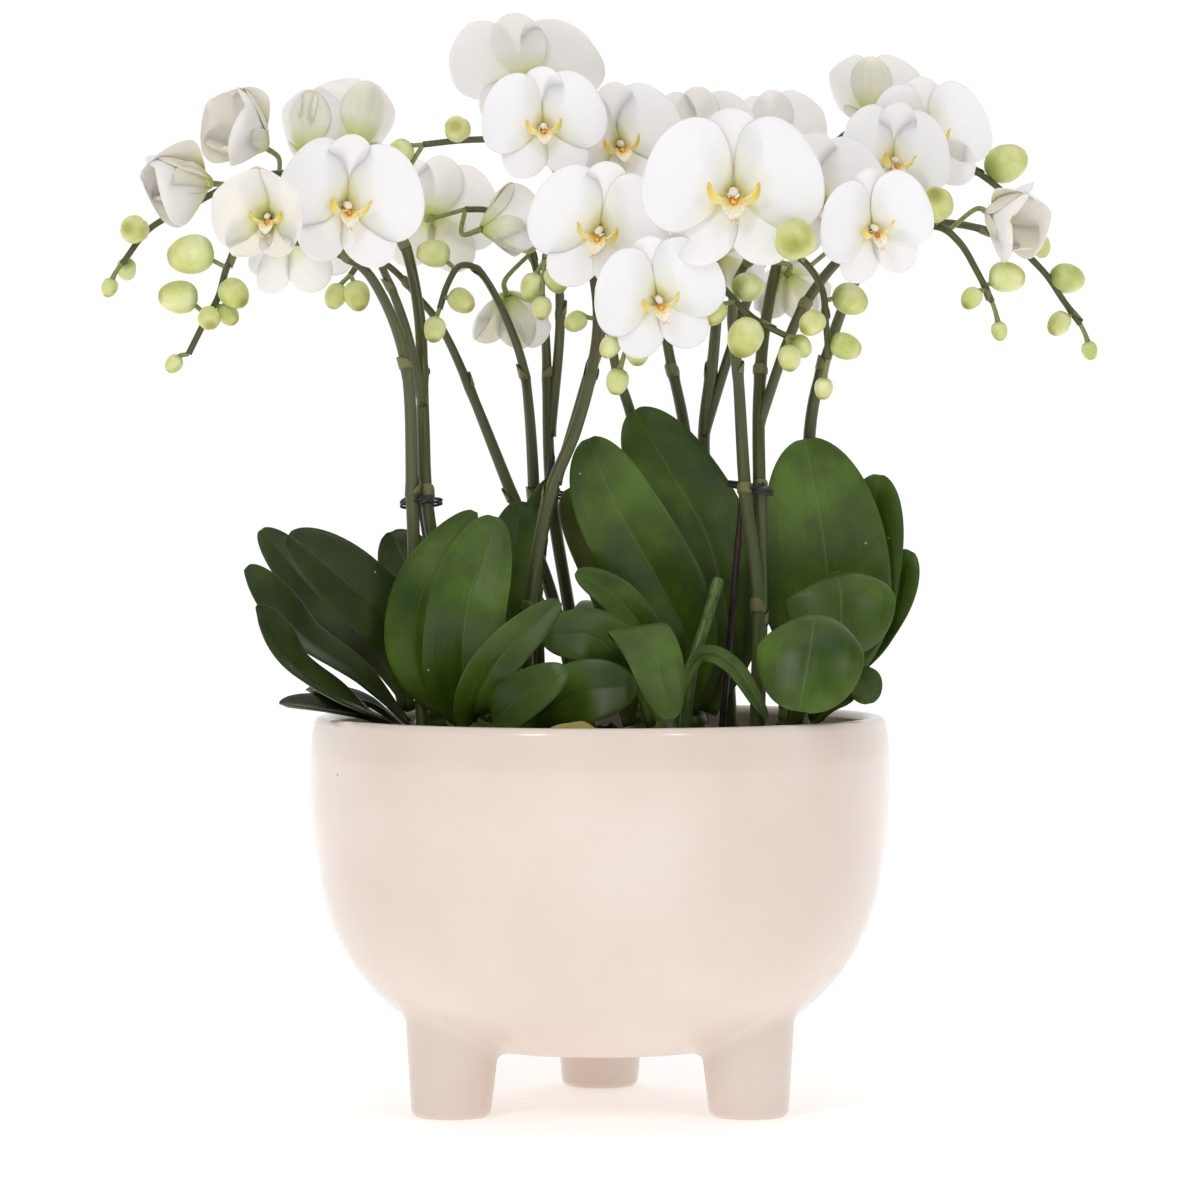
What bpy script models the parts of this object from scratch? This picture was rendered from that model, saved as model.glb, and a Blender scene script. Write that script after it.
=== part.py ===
"""Moth orchids planted together in a footed ceramic bowl.

The bowl stands on the floor with its axis on Z, and most of the flowers face -Y. Plants are placed in
millimetres from the bowl's axis and from the top of the bark, so they rise and sink with the bowl.
"""
import math

import bmesh
import bpy
from mathutils import Matrix, Vector

MM = 0.001
GAP = 0.4 * MM  # air left between pieces that touch

# Bowl
BOWL_RADIUS = 120 * MM
BOWL_HEIGHT = 162 * MM
BOWL_WALL = 7 * MM
BOWL_CLEARANCE = 26 * MM  # flat underside above the floor
BELLY_BELOW_RIM = 18.5 * MM  # where the side is widest
RIM_LEAN = 2.4 * MM  # how far the rim stands in from the belly
SIDE_POWER = 2.6  # the side is a superellipse, squarer than a round bowl
DEPTH_POWER = 2.8
VIRTUAL_BOTTOM = 6 * MM  # the flat underside cuts the superellipse this far above its lowest point
BOWL_STEPS = 32

# Feet
FOOT_CIRCLE = 70 * MM
FOOT_TOP_RADIUS = 18.5 * MM
FOOT_FLOOR_RADIUS = 16.5 * MM
FOOT_EDGE = 3 * MM
FOOT_SIDES = 16
FOOT_BEARINGS = (-150, -30, 90)  # degrees round the bowl, from +X

# Bark and planting
BARK_BELOW_RIM = 12 * MM
BARK_TOP = BOWL_HEIGHT - BARK_BELOW_RIM

CROWN_RADIUS = 9 * MM
CROWN_HEIGHT = 19 * MM
CROWN_TAPER = 0.6  # the crown's top radius, as a share of its foot's

LEAF_THICKNESS = 1.8 * MM

STALK_FOOT = 2.7 * MM  # radius at the bark
BRANCH_FOOT = 2.1 * MM
STALK_TIP = 1.3 * MM
PEDICEL = 0.9 * MM
PEDICEL_RUN = 9 * MM  # straight stretch behind a flower
PEDICEL_ARCH = 1 * MM  # how far a bud's pedicel arches up on its way
BUD_WIDTH = 0.78  # a bud's width, as a share of its length
BUD_DROOP = 0.5  # how much a bud hangs, against how much it points away from its stalk
BUD_SEAT = 0.2  # how far down the bud its pedicel ends, as a share of its length

PETAL_THICKNESS = 1.6 * MM
STAKE_RADIUS = 1.6 * MM
TIE_WIRE = 0.9 * MM

# Crowns, as x and y in mm
CROWNS = {
    "left": (-70, -4),
    "front_left": (-40, -12),
    "back": (-18, 42),
    "front": (20, -22),
    "centre": (38, 28),
    "right": (80, 0),
}

# Flower stalks: the main stalk, then any side branch, each as points in mm
STALKS = {
    "left_front": [
        [(-72, -23, 0), (-75, -20, 45), (-77, -16, 98), (-79, -26, 155), (-92, -34, 190),
         (-108, -40, 202), (-126, -44, 206), (-143, -48, 206), (-150, -50, 196), (-154, -50, 183),
         (-160, -50, 172), (-166, -50, 160)],
    ],
    "left_rear": [
        [(-56, 1, 0), (-63, -6, 50), (-71, -11, 98), (-73, -6, 136), (-75, 2, 179), (-84, 8, 214),
         (-103, 8, 230), (-128, 2, 236), (-150, 0, 232), (-172, -4, 221), (-186, -10, 212), (-196, -16, 198)],
        [(-73, -6, 140), (-80, -14, 172), (-89, -24, 196), (-98, -34, 210)],
    ],
    "middle_leaning": [
        [(-6, 31, 0), (-20, 30, 60), (-36, 27, 101), (-62, 20, 165), (-77, 14, 187), (-89, 8, 199),
         (-98, 0, 200), (-103, -4, 194)],
    ],
    "middle_left": [
        [(-25, 61, 0), (-27, 54, 59), (-28, 46, 105), (-30, 38, 140), (-33, 30, 160), (-41, 24, 181),
         (-50, 12, 196), (-58, 4, 198), (-63, -3, 190), (-66, -8, 180)],
    ],
    "middle_twin": [
        [(-3, 48, 0), (-14, 51, 60), (-21, 52, 108), (-23, 50, 169), (-26, 42, 194), (-32, 28, 211),
         (-45, 17, 221), (-56, 12, 222)],
        [(-21, 52, 128), (-17, 50, 173), (-18, 40, 198), (-21, 20, 205), (-23, 0, 200)],
    ],
    "centre_front": [
        [(-27, -19, 0), (-30, -19, 44), (-22, -16, 98), (-10, -15, 130), (-3, -18, 156), (-1, -19, 180),
         (-6, -14, 208), (-15, -10, 232), (-26, -14, 244), (-38, -22, 248), (-54, -26, 248), (-72, -28, 246)],
        [(-18, -16, 108), (-10, -7, 135), (-2, -6, 162), (8, -12, 192), (17, -22, 204), (22, -34, 202),
         (21, -43, 188), (14, -46, 172)],
    ],
    "centre_rear": [
        [(24, 41, 0), (24, 40, 60), (22, 40, 101), (13, 36, 137), (6, 30, 160), (4, 24, 190),
         (10, 18, 220), (20, 15, 246)],
    ],
    "back_tall": [
        [(44, 64, 0), (42, 62, 60), (37, 60, 124), (30, 55, 160), (25, 50, 185), (16, 46, 220),
         (0, 43, 246), (-18, 36, 263)],
    ],
    "right_twin_rear": [
        [(56, 45, 0), (52, 48, 60), (44, 48, 120), (48, 40, 164), (49, 26, 187), (45, 4, 204),
         (39, -22, 208), (40, -44, 197), (50, -54, 186), (62, -58, 174), (75, -58, 167)],
        [(44, 47, 128), (55, 43, 164), (67, 38, 198), (82, 34, 228), (98, 28, 250), (110, 22, 259)],
    ],
    "right_front": [
        [(64, -14, 0), (65, -12, 60), (60, -7, 104), (57, -10, 150), (54, -20, 178), (58, -34, 195),
         (68, -46, 202), (80, -52, 199), (89, -54, 187), (91, -54, 172), (92, -54, 158)],
    ],
    "right_twin": [
        [(66, 12, 0), (67, 6, 60), (66, 0, 104), (66, 6, 143), (69, 9, 176), (77, 14, 209),
         (95, 22, 234), (120, 27, 246), (141, 27, 248), (155, 24, 240), (169, 20, 229), (180, 18, 216)],
        [(66, 5, 132), (77, 0, 165), (86, -4, 184), (101, -10, 202), (122, -15, 212), (138, -20, 213),
         (147, -25, 206), (154, -27, 194), (160, -27, 182)],
    ],
    "right_far": [
        [(85, 21, 0), (88, 26, 60), (88, 27, 130), (97, 24, 168), (106, 21, 191), (117, 18, 208),
         (130, 16, 215), (148, 14, 216), (168, 10, 210), (183, 7, 197), (192, 5, 184), (199, 4, 174)],
    ],
}

# Buds: the stalk, the middle of the bud in mm, and its length in mm
BUDS = [
    ("left_front", (-165, -52, 200), 19), ("left_front", (-147, -56, 184), 14),
    ("left_front", (-170, -52, 183), 16), ("left_front", (-157, -58, 174), 11),
    ("left_front", (-172, -50, 156), 8), ("left_front", (-150, -50, 176), 10),
    ("left_rear", (-191, -18, 212), 14), ("left_rear", (-195, -8, 196), 10),
    ("left_rear", (-201, -19, 188), 8),
    ("middle_leaning", (-100, -9, 185), 13), ("middle_leaning", (-109, -6, 185), 11),
    ("middle_left", (-69, 1, 203), 14), ("middle_left", (-57, -9, 183), 12),
    ("middle_left", (-68, -14, 171), 11),
    ("middle_twin", (-31, 24, 210), 13), ("middle_twin", (-28, -2, 189), 12),
    ("middle_twin", (-18, -5, 192), 12), ("middle_twin", (-24, -10, 180), 10),
    ("centre_front", (-58, -33, 252), 13), ("centre_front", (-82, -30, 242), 13),
    ("centre_front", (-80, -30, 230), 11), ("centre_front", (-10, -24, 174), 10),
    ("centre_front", (15, -52, 161), 12), ("centre_front", (4, -45, 163), 10),
    ("centre_front", (7, -44, 149), 11),
    ("centre_rear", (28, 14, 256), 12),
    ("right_twin_rear", (31, -36, 203), 15), ("right_twin_rear", (46, -62, 176), 11),
    ("right_twin_rear", (60, -50, 187), 14), ("right_twin_rear", (58, -65, 166), 17),
    ("right_twin_rear", (76, -62, 158), 11), ("right_twin_rear", (81, -54, 163), 10),
    ("right_front", (77, -88, 204), 20), ("right_front", (101, -50, 182), 15),
    ("right_front", (85, -60, 172), 12), ("right_front", (99, -54, 163), 13),
    ("right_front", (90, -54, 146), 9),
    ("right_twin", (137, -27, 222), 17), ("right_twin", (166, -28, 192), 15),
    ("right_twin", (151, -33, 183), 10), ("right_twin", (163, -27, 170), 8),
    ("right_twin", (170, 24, 242), 19), ("right_twin", (184, 20, 207), 10),
    ("right_twin", (172, 14, 219), 13),
    ("right_far", (194, 8, 193), 15), ("right_far", (190, 2, 174), 11), ("right_far", (203, 4, 163), 8),
]

# Flowers: the stalk, middle in mm, bearing and elevation that it faces in degrees, width in mm, and
# how far its edge stands forward of its middle, as a share of half its width. Bearing 0 faces -Y.
FLOWERS = [
    ("left_rear", (-161, -16, 231), -52, 2, 54, 0.45),
    ("left_rear", (-139, -8, 247), -42, 26, 52, 0.40),
    ("left_front", (-132, -74, 214), -10, -2, 48, 0.45),
    ("left_rear", (-102, -58, 219), 20, 0, 60, 0.20),
    ("middle_twin", (-70, 28, 219), 172, 6, 54, 0.10),
    ("back_tall", (-31, 37, 279), 172, 44, 64, 0.10),
    ("centre_front", (-23, -40, 252), 4, 6, 50, 0.14),
    ("centre_rear", (8, -25, 246), 10, 4, 52, 0.12),
    ("centre_front", (0, -58, 209), -10, -4, 57, 0.10),
    ("centre_front", (23, -72, 181), 14, -8, 53, 0.12),
    ("right_twin_rear", (53, -76, 223), 0, 3, 69, 0.08),
    ("right_twin", (89, -36, 223), 12, 0, 55, 0.10),
    ("right_twin", (120, -15, 240), 28, 4, 50, 0.12),
    ("right_front", (109, -64, 210), 26, -8, 50, 0.18),
    ("right_twin", (136, 6, 251), 14, 4, 52, 0.10),
    ("right_twin", (160, -22, 218), 36, -14, 50, 0.50),
]

# How far a flower's outline reaches, as a share of half its width, by degrees up from its side
FLOWER_REACH = {
    -90: 0.40, -72: 0.75, -54: 0.88, -36: 0.55, -18: 0.85, 0: 0.98,
    18: 1.00, 36: 0.93, 54: 0.68, 72: 0.80, 90: 0.95,
}

# Leaves: the crown, then where the leaf leaves it: the bearing in degrees from +X, the distance from the
# crown's side in mm and the height in mm. Then points along the midrib to the tip in mm, the width in mm,
# the way that the upper side faces, and how far the edges stand above the midrib, in half widths. The
# edges of a round spoon-like leaf stand below it
LEAVES = [
    ("left", (186, 1.0, 14), [(-85, -10, 46), (-103, -16, 66), (-128, -22, 87)], 30, (0, -0.85, 0.5), 0.28),
    ("left", (139, 1.6, 14), [(-96, 11, 42), (-119, 17, 62), (-142, 20, 89)], 24, (0, -0.7, 0.7), 0.28),
    ("left", (214, 1.8, 9), [(-97, -21, 27), (-122, -34, 46), (-144, -41, 74)], 22, (0, -0.5, 0.85), 0.28),
    ("left", (77, 4.3, 14), [(-70, 22, 42), (-78, 30, 66), (-88, 34, 88)], 30, (0.1, -0.8, 0.5), 0.28),
    ("left", (222, 5.9, 5), [(-97, -38, 16), (-122, -56, 33), (-138, -66, 59)], 20, (0, -0.5, 0.85), 0.28),
    ("front_left", (209, 1.3, 9), [(-55, -34, 21), (-54, -43, 56), (-43, -34, 95)], 33, (0, -1.0, 0.1), 0.24),
    ("front_left", (80, 3.2, 12), [(-38, 4, 40), (-37, 5, 70), (-33, 4, 101)], 26, (0.2, -1.0, 0.1), 0.28),
    ("front_left", (250, 2.7, 7), [(-52, -42, 12), (-43, -57, 34), (-16, -60, 61)], 19,
     (0.3, -0.9, 0.4), 0.28),
    ("front_left", (280, 2.2, 5), [(-44, -52, 8), (-34, -70, 20), (-13, -78, 34)], 22,
     (0.1, -0.9, 0.5), 0.10),
    ("front", (221, 1.6, 9), [(9, -36, 30), (-2, -43, 45), (-24, -48, 46)], 25, (0, -1.0, 0.3), 0.05),
    ("front", (275, 2.0, 9), [(14, -48, 40), (15, -68, 50), (22, -86, 38), (28, -93, 14)], 24,
     (0, -0.6, 0.8), 0.0),
    ("centre", (265, 2.0, 12), [(38, 6, 38), (24, 2, 68), (7, -2, 98), (-5, -4, 127)], 37,
     (-0.2, -1.0, 0.1), 0.2),
    ("centre", (311, 1.6, 12), [(54, 19, 40), (46, 19, 82), (30, 20, 112), (14, 22, 139)], 38,
     (-0.1, -1.0, 0.1), 0.2),
    ("back", (70, 2.7, 10), [(-2, 72, 38), (8, 92, 54), (14, 112, 50)], 36, (0, 0.2, 1.0), 0.28),
    ("back", (156, 0.9, 10), [(-48, 62, 36), (-68, 78, 52), (-88, 90, 50)], 34, (0, 0.2, 1.0), 0.28),
    ("right", (70, 2.7, 10), [(94, 15, 40), (94, 14, 78), (85, 9, 127)], 53, (0, -1.0, 0.1), 0.10),
    ("right", (301, 2.7, 13), [(92, -14, 44), (95, -22, 68), (98, -32, 64), (98, -38, 38)], 45,
     (0, -0.6, 0.8), -0.2),
    ("right", (260, 3.2, 6), [(83, -38, 32), (86, -62, 54), (84, -80, 44), (79, -88, 17)], 43,
     (0, -0.6, 0.8), -0.2),
]

# Stakes: foot and top in mm, and which sort. Ties: the middle of the loop and its radius in mm
STAKES = [
    ((-58, 12, 0), (-77, -8, 116), "black"),
    ((-31, 36, 0), (-20, 45, 122), "black"),
    ((50, 4, 0), (60, 6, 112), "purple"),
]
TIES = [((-74, -11, 100), 9.5), ((-23, 48, 104), 8.5), ((62, -1, 106), 10.5)]


def clear_scene():
    for old in list(bpy.data.objects):
        bpy.data.objects.remove(old, do_unlink=True)


def new_collection(name):
    made = bpy.data.collections.new(name)
    bpy.context.scene.collection.children.link(made)
    return made


def material(name, colour, roughness):
    made = bpy.data.materials.new(name)
    made.use_nodes = True
    shader = made.node_tree.nodes["Principled BSDF"]
    shader.inputs["Base Color"].default_value = (*colour, 1)
    shader.inputs["Roughness"].default_value = roughness
    shader.inputs["Metallic"].default_value = 0
    return made


def place(x, y, z):
    """A point in metres, from millimetres off the bowl's axis and above the bark."""
    return Vector((x * MM, y * MM, BARK_TOP + z * MM))


def heading(bearing, elevation):
    turn = math.radians(bearing)
    rise = math.radians(elevation)
    return Vector((math.sin(turn) * math.cos(rise), -math.cos(turn) * math.cos(rise), math.sin(rise)))


def add_object(name, mesh, look, collection, smooth=True):
    obj = bpy.data.objects.new(name, mesh)
    collection.objects.link(obj)
    if look:
        mesh.materials.append(look)
    if smooth:
        mesh.shade_smooth()
        mesh.set_sharp_from_angle(angle=math.radians(50))
    return obj


def as_helper(obj):
    obj.hide_render = True
    obj.display_type = "WIRE"
    return obj


def mesh_from_bmesh(name, bm):
    mesh = bpy.data.meshes.new(name)
    bm.to_mesh(mesh)
    bm.free()
    return mesh


def add_boolean(obj, operation, cutter=None, collection=None):
    step = obj.modifiers.new(operation.lower(), "BOOLEAN")
    step.operation = operation
    step.solver = "EXACT"
    if collection:
        step.operand_type = "COLLECTION"
        step.collection = collection
    else:
        step.object = cutter


def smooth_path(points, per_span):
    """Points along the smooth curve (Catmull-Rom) that passes through the given points."""
    ends = [2 * points[0] - points[1], *points, 2 * points[-1] - points[-2]]
    path = []
    for a, b, c, d in zip(ends, ends[1:], ends[2:], ends[3:]):
        for step in range(per_span):
            t = step / per_span
            path.append(
                0.5 * (2 * b + (c - a) * t + (2 * a - 5 * b + 4 * c - d) * t ** 2
                       + (3 * b - a - 3 * c + d) * t ** 3)
            )
    return path + [points[-1].copy()]


def tube(name, path, radii, look, collection, sides=1, closed=False):
    """A closed tube mesh along a path; a curve with filled caps, made a mesh."""
    curve = bpy.data.curves.new(name, "CURVE")
    curve.dimensions = "3D"
    curve.bevel_depth = 1
    curve.bevel_resolution = sides
    curve.use_fill_caps = True
    spline = curve.splines.new("POLY")
    spline.points.add(len(path) - 1)
    spline.use_cyclic_u = closed
    for point, at, radius in zip(spline.points, path, radii):
        point.co = (*at, 1)
        point.radius = radius
    guide = bpy.data.objects.new(name + "_curve", curve)
    collection.objects.link(guide)
    graph = bpy.context.evaluated_depsgraph_get()
    mesh = bpy.data.meshes.new_from_object(guide.evaluated_get(graph))
    bpy.data.objects.remove(guide, do_unlink=True)
    bm = bmesh.new()
    bm.from_mesh(mesh)
    bmesh.ops.remove_doubles(bm, verts=bm.verts, dist=0.01 * MM)
    bmesh.ops.recalc_face_normals(bm, faces=bm.faces)
    bm.to_mesh(mesh)
    bm.free()
    return add_object(name, mesh, look, collection)


def turned(name, profile, look, collection):
    """A solid of revolution about Z, from (radius, height) points that run down its outer side."""
    mesh = bpy.data.meshes.new(name)
    edges = [(i, i + 1) for i in range(len(profile) - 1)]
    mesh.from_pydata([(radius, 0, height) for radius, height in profile], edges, [])
    obj = add_object(name, mesh, look, collection, smooth=False)
    screw = obj.modifiers.new("turn", "SCREW")
    screw.steps = screw.render_steps = BOWL_STEPS
    screw.use_merge_vertices = True
    screw.merge_threshold = 0.00001
    screw.use_smooth_shade = True
    return obj


def side_points(inset, floor, top):
    """Points up the bowl's side, from the middle of its floor to the top, set in by inset."""
    belly = BOWL_HEIGHT - BELLY_BELOW_RIM
    radius = BOWL_RADIUS - inset
    depth = belly - floor + VIRTUAL_BOTTOM
    flat = math.acos(((belly - floor) / depth) ** (DEPTH_POWER / 2))
    points = [(0, floor)]
    steps = 8
    for step in range(steps + 1):
        turn = flat + (math.pi / 2 - flat) * step / steps
        across = radius * math.sin(turn) ** (2 / SIDE_POWER)
        points.append((across, belly - depth * max(math.cos(turn), 0) ** (2 / DEPTH_POWER)))
    heights = [height for height in (BARK_TOP, top) if height > belly]
    for height in sorted(set(heights)):
        lean = RIM_LEAN * ((height - belly) / BELLY_BELOW_RIM) ** 2
        points.append((radius - lean, height))
    return points


def outer_height(across):
    """The height of the bowl's outer side at a distance from its axis."""
    belly = BOWL_HEIGHT - BELLY_BELOW_RIM
    depth = belly - BOWL_CLEARANCE + VIRTUAL_BOTTOM
    share = min(across / BOWL_RADIUS, 1)
    return belly - depth * (1 - share ** SIDE_POWER) ** (1 / DEPTH_POWER)


def bowl_foot(bearing, number, helpers):
    """A tapered round foot, with a rounded edge at the floor, that runs up into the bowl's wall."""
    top = outer_height(FOOT_CIRCLE + FOOT_TOP_RADIUS) + BOWL_WALL
    turn = math.radians(bearing)
    bm = bmesh.new()
    bmesh.ops.create_cone(
        bm, cap_ends=True, segments=FOOT_SIDES, radius1=FOOT_FLOOR_RADIUS, radius2=FOOT_TOP_RADIUS, depth=top,
    )
    floor_edges = [edge for edge in bm.edges if all(vert.co.z < 0 for vert in edge.verts)]
    bmesh.ops.bevel(bm, geom=floor_edges, offset=FOOT_EDGE, segments=2, profile=0.5, affect="EDGES")
    foot = add_object(f"foot_{number}", mesh_from_bmesh("foot", bm), None, helpers)
    foot.location = (FOOT_CIRCLE * math.cos(turn), FOOT_CIRCLE * math.sin(turn), top / 2)
    return as_helper(foot)


def bowl(look, collection, helpers):
    """One ceramic piece: the turned body joined to three feet, then hollowed."""
    lip = BOWL_WALL / 2
    outer = side_points(0, BOWL_CLEARANCE, top=BOWL_HEIGHT - lip)
    middle = outer[-1][0] - lip
    rounding = [
        (middle + lip * math.cos(turn), BOWL_HEIGHT - lip + lip * math.sin(turn))
        for turn in (math.pi * step / 6 for step in range(6, 0, -1))
    ]
    centre = [(0, BOWL_HEIGHT - lip)]
    body = turned("bowl", centre + rounding + outer[::-1], look, collection)
    hollow = side_points(BOWL_WALL, BOWL_CLEARANCE + BOWL_WALL, top=BOWL_HEIGHT - lip)
    lid = [(0, BOWL_HEIGHT + lip), (hollow[-1][0], BOWL_HEIGHT + lip)]
    cutter = as_helper(turned("bowl_hollow", lid + hollow[::-1], None, helpers))
    for number, bearing in enumerate(FOOT_BEARINGS, 1):
        add_boolean(body, "UNION", bowl_foot(bearing, number, helpers))
    add_boolean(body, "DIFFERENCE", cutter)
    return body


def bark_bed(look, collection):
    """The potting bark, which fills the bowl to a little below its rim."""
    sides = side_points(BOWL_WALL + GAP, BOWL_CLEARANCE + BOWL_WALL + GAP, top=BARK_TOP)
    return turned("bark_bed", [(0, BARK_TOP)] + sides[::-1], look, collection)


def crown(name, x, y, look, collection):
    """The short thick stem that a plant's leaves and flower stalks grow from."""
    bm = bmesh.new()
    bmesh.ops.create_cone(
        bm, cap_ends=True, segments=12, depth=CROWN_HEIGHT,
        radius1=CROWN_RADIUS, radius2=CROWN_TAPER * CROWN_RADIUS,
    )
    obj = add_object(name, mesh_from_bmesh(name, bm), look, collection)
    obj.location = place(x, y, 0) + Vector((0, 0, CROWN_HEIGHT / 2 + GAP))
    return obj


def nearest_on(paths, target):
    return min((point for path in paths for point in path), key=lambda point: (point - target).length)


def bud(name, stalk_paths, middle, length, helpers):
    """A bud on its own short pedicel, as two helpers to be joined to the stalk."""
    root = nearest_on(stalk_paths, middle)
    along = (middle - root).normalized()
    hang = (along - Vector((0, 0, BUD_DROOP))).normalized()
    bm = bmesh.new()
    bmesh.ops.create_uvsphere(bm, u_segments=6, v_segments=3, radius=0.5)
    scale = Matrix.Diagonal((BUD_WIDTH * length, BUD_WIDTH * length, length, 1))
    turn = hang.to_track_quat("Z", "Y").to_matrix().to_4x4()
    bmesh.ops.transform(bm, matrix=Matrix.Translation(middle) @ turn @ scale, verts=bm.verts)
    as_helper(add_object(name, mesh_from_bmesh(name, bm), None, helpers))
    bend = (root + middle) / 2 + Vector((0, 0, PEDICEL_ARCH))
    path = smooth_path([root, bend, middle - hang * BUD_SEAT * length], 1)
    as_helper(tube(name + "_pedicel", path, [PEDICEL] * len(path), None, helpers, sides=0))


def flower_pedicel(name, stalk_paths, middle, facing, helpers):
    """The pedicel that ends just behind a flower's middle."""
    end = middle - facing * (PETAL_THICKNESS / 2 + GAP)
    bend = end - facing * PEDICEL_RUN
    root = nearest_on(stalk_paths, bend)
    path = smooth_path([root, bend, end], 2)
    as_helper(tube(name, path, [PEDICEL] * len(path), None, helpers))


def stalk(name, branches, look, collection):
    """A flower stalk with its branch, pedicels and buds, which grew as one piece."""
    shoots = new_collection(name + "_shoots")
    paths = [smooth_path([place(*point) for point in branch], 2) for branch in branches]
    lean = (paths[0][1] - paths[0][0]).normalized()
    paths[0][0].z = BARK_TOP + GAP + STALK_FOOT * math.sqrt(1 - lean.z ** 2)
    for number, path in enumerate(paths):
        foot = STALK_FOOT if number == 0 else BRANCH_FOOT
        radii = [foot + (STALK_TIP - foot) * step / (len(path) - 1) for step in range(len(path))]
        if number == 0:
            obj = tube(name, path, radii, look, collection)
        else:
            as_helper(tube(f"{name}_branch", path, radii, None, shoots))
    for number, (owner, middle, length) in enumerate(BUDS):
        if owner + "_stalk" == name:
            bud(f"bud_{number}", paths, place(*middle), length * MM, shoots)
    for number, (owner, middle, bearing, elevation, _, _) in enumerate(FLOWERS, 1):
        if owner + "_stalk" == name:
            flower_pedicel(f"pedicel_{number}", paths, place(*middle), heading(bearing, elevation), shoots)
    if len(shoots.objects):
        add_boolean(obj, "UNION", collection=shoots)
    return obj


def leaf_half_width(t, is_spoon):
    """The blade's half width at t along it: a narrow channelled base and a blunt rounded tip. A spoon
    stays narrow for longer and ends in a round blade."""
    if is_spoon:
        rise = min(max((t - 0.45) / 0.33, 0), 1)
        end = max(t - 0.78, 0) / 0.22
        return (0.3 + 0.7 * rise * rise * (3 - 2 * rise)) * math.sqrt(max(1 - end ** 2.2, 0))
    rise = min(t / 0.5, 1)
    neck = 0.22 + 0.78 * rise * rise * (3 - 2 * rise)
    end = max(t - 0.55, 0) / 0.45
    return neck * math.sqrt(max(1 - end ** 2.6, 0))


def leaf_root(crown_name, bearing, off_crown, height):
    """Where a leaf leaves its crown, so that it moves out when the crown is thicker."""
    x, y = CROWNS[crown_name]
    turn = math.radians(bearing)
    out = CROWN_RADIUS + off_crown * MM
    return place(x, y, height) + out * Vector((math.cos(turn), math.sin(turn), 0))


def leaf(name, root, rib, width, up, fold, look, collection):
    """A thick strap-like leaf, folded along its midrib."""
    path = smooth_path([root] + [place(*point) for point in rib], 8)
    rows = []
    for t in (0, 0.14, 0.28, 0.42, 0.58, 0.74, 0.88, 0.975):
        spot = t * (len(path) - 1)
        index = min(int(spot), len(path) - 2)
        at = path[index].lerp(path[index + 1], spot - index)
        along = (path[index + 1] - path[index]).normalized()
        across = along.cross(Vector(up)).normalized()
        normal = across.cross(along)
        half = leaf_half_width(t, fold < 0) * width * MM / 2
        rows.append([at + across * half * s + normal * half * fold * abs(s) for s in (-1, 0, 1)])
    bm = bmesh.new()
    verts = [[bm.verts.new(point) for point in row] for row in rows]
    for low, high in zip(verts, verts[1:]):
        for column in range(len(low) - 1):
            bm.faces.new((low[column], low[column + 1], high[column + 1], high[column]))
    obj = add_object(name, mesh_from_bmesh(name, bm), look, collection)
    add_thickness(obj, LEAF_THICKNESS)
    return obj


def add_thickness(obj, thickness):
    shell = obj.modifiers.new("thickness", "SOLIDIFY")
    shell.thickness = thickness
    shell.offset = 0


def flower(name, middle, facing, width, cup, look, collection):
    """An open flower as one lobed dish: two broad petals, one sepal up and two down."""
    half = width * MM / 2
    rims = sorted(FLOWER_REACH.items())
    rims += [(180 - turn, reach) for turn, reach in rims[-2:0:-1]]
    bm = bmesh.new()
    centre = bm.verts.new((0, 0, 0))
    rings = []
    for share in (0.5, 1):
        ring = []
        for turn, reach in rims:
            out = share * reach * half
            around = math.radians(turn)
            rise = cup * out * out / half
            ring.append(bm.verts.new((out * math.cos(around), out * math.sin(around), rise)))
        rings.append(ring)
    inner, outer = rings
    for i, start in enumerate(inner):
        following = inner[(i + 1) % len(inner)]
        bm.faces.new((centre, start, following))
        bm.faces.new((start, outer[i], outer[(i + 1) % len(outer)], following))
    bmesh.ops.recalc_face_normals(bm, faces=bm.faces)
    obj = add_object(name, mesh_from_bmesh(name, bm), look, collection)
    obj.location = middle
    side = Vector((0, 0, 1)).cross(facing).normalized()
    obj.rotation_euler = Matrix((side, facing.cross(side), facing)).transposed().to_euler()
    add_thickness(obj, PETAL_THICKNESS)
    return obj


def stake(name, foot, top, look, collection):
    path = [place(*foot) + Vector((0, 0, GAP)), place(*top)]
    return tube(name, path, [STAKE_RADIUS] * 2, look, collection)


def tie(name, middle, radius, look, collection):
    """A loop of coated wire round the stalks and their stake."""
    steps = 12
    centre = place(*middle)
    path = [
        centre + radius * MM * Vector((math.cos(turn), math.sin(turn), 0))
        for turn in (2 * math.pi * step / steps for step in range(steps))
    ]
    return tube(name, path, [TIE_WIRE] * steps, look, collection, sides=0, closed=True)


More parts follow.
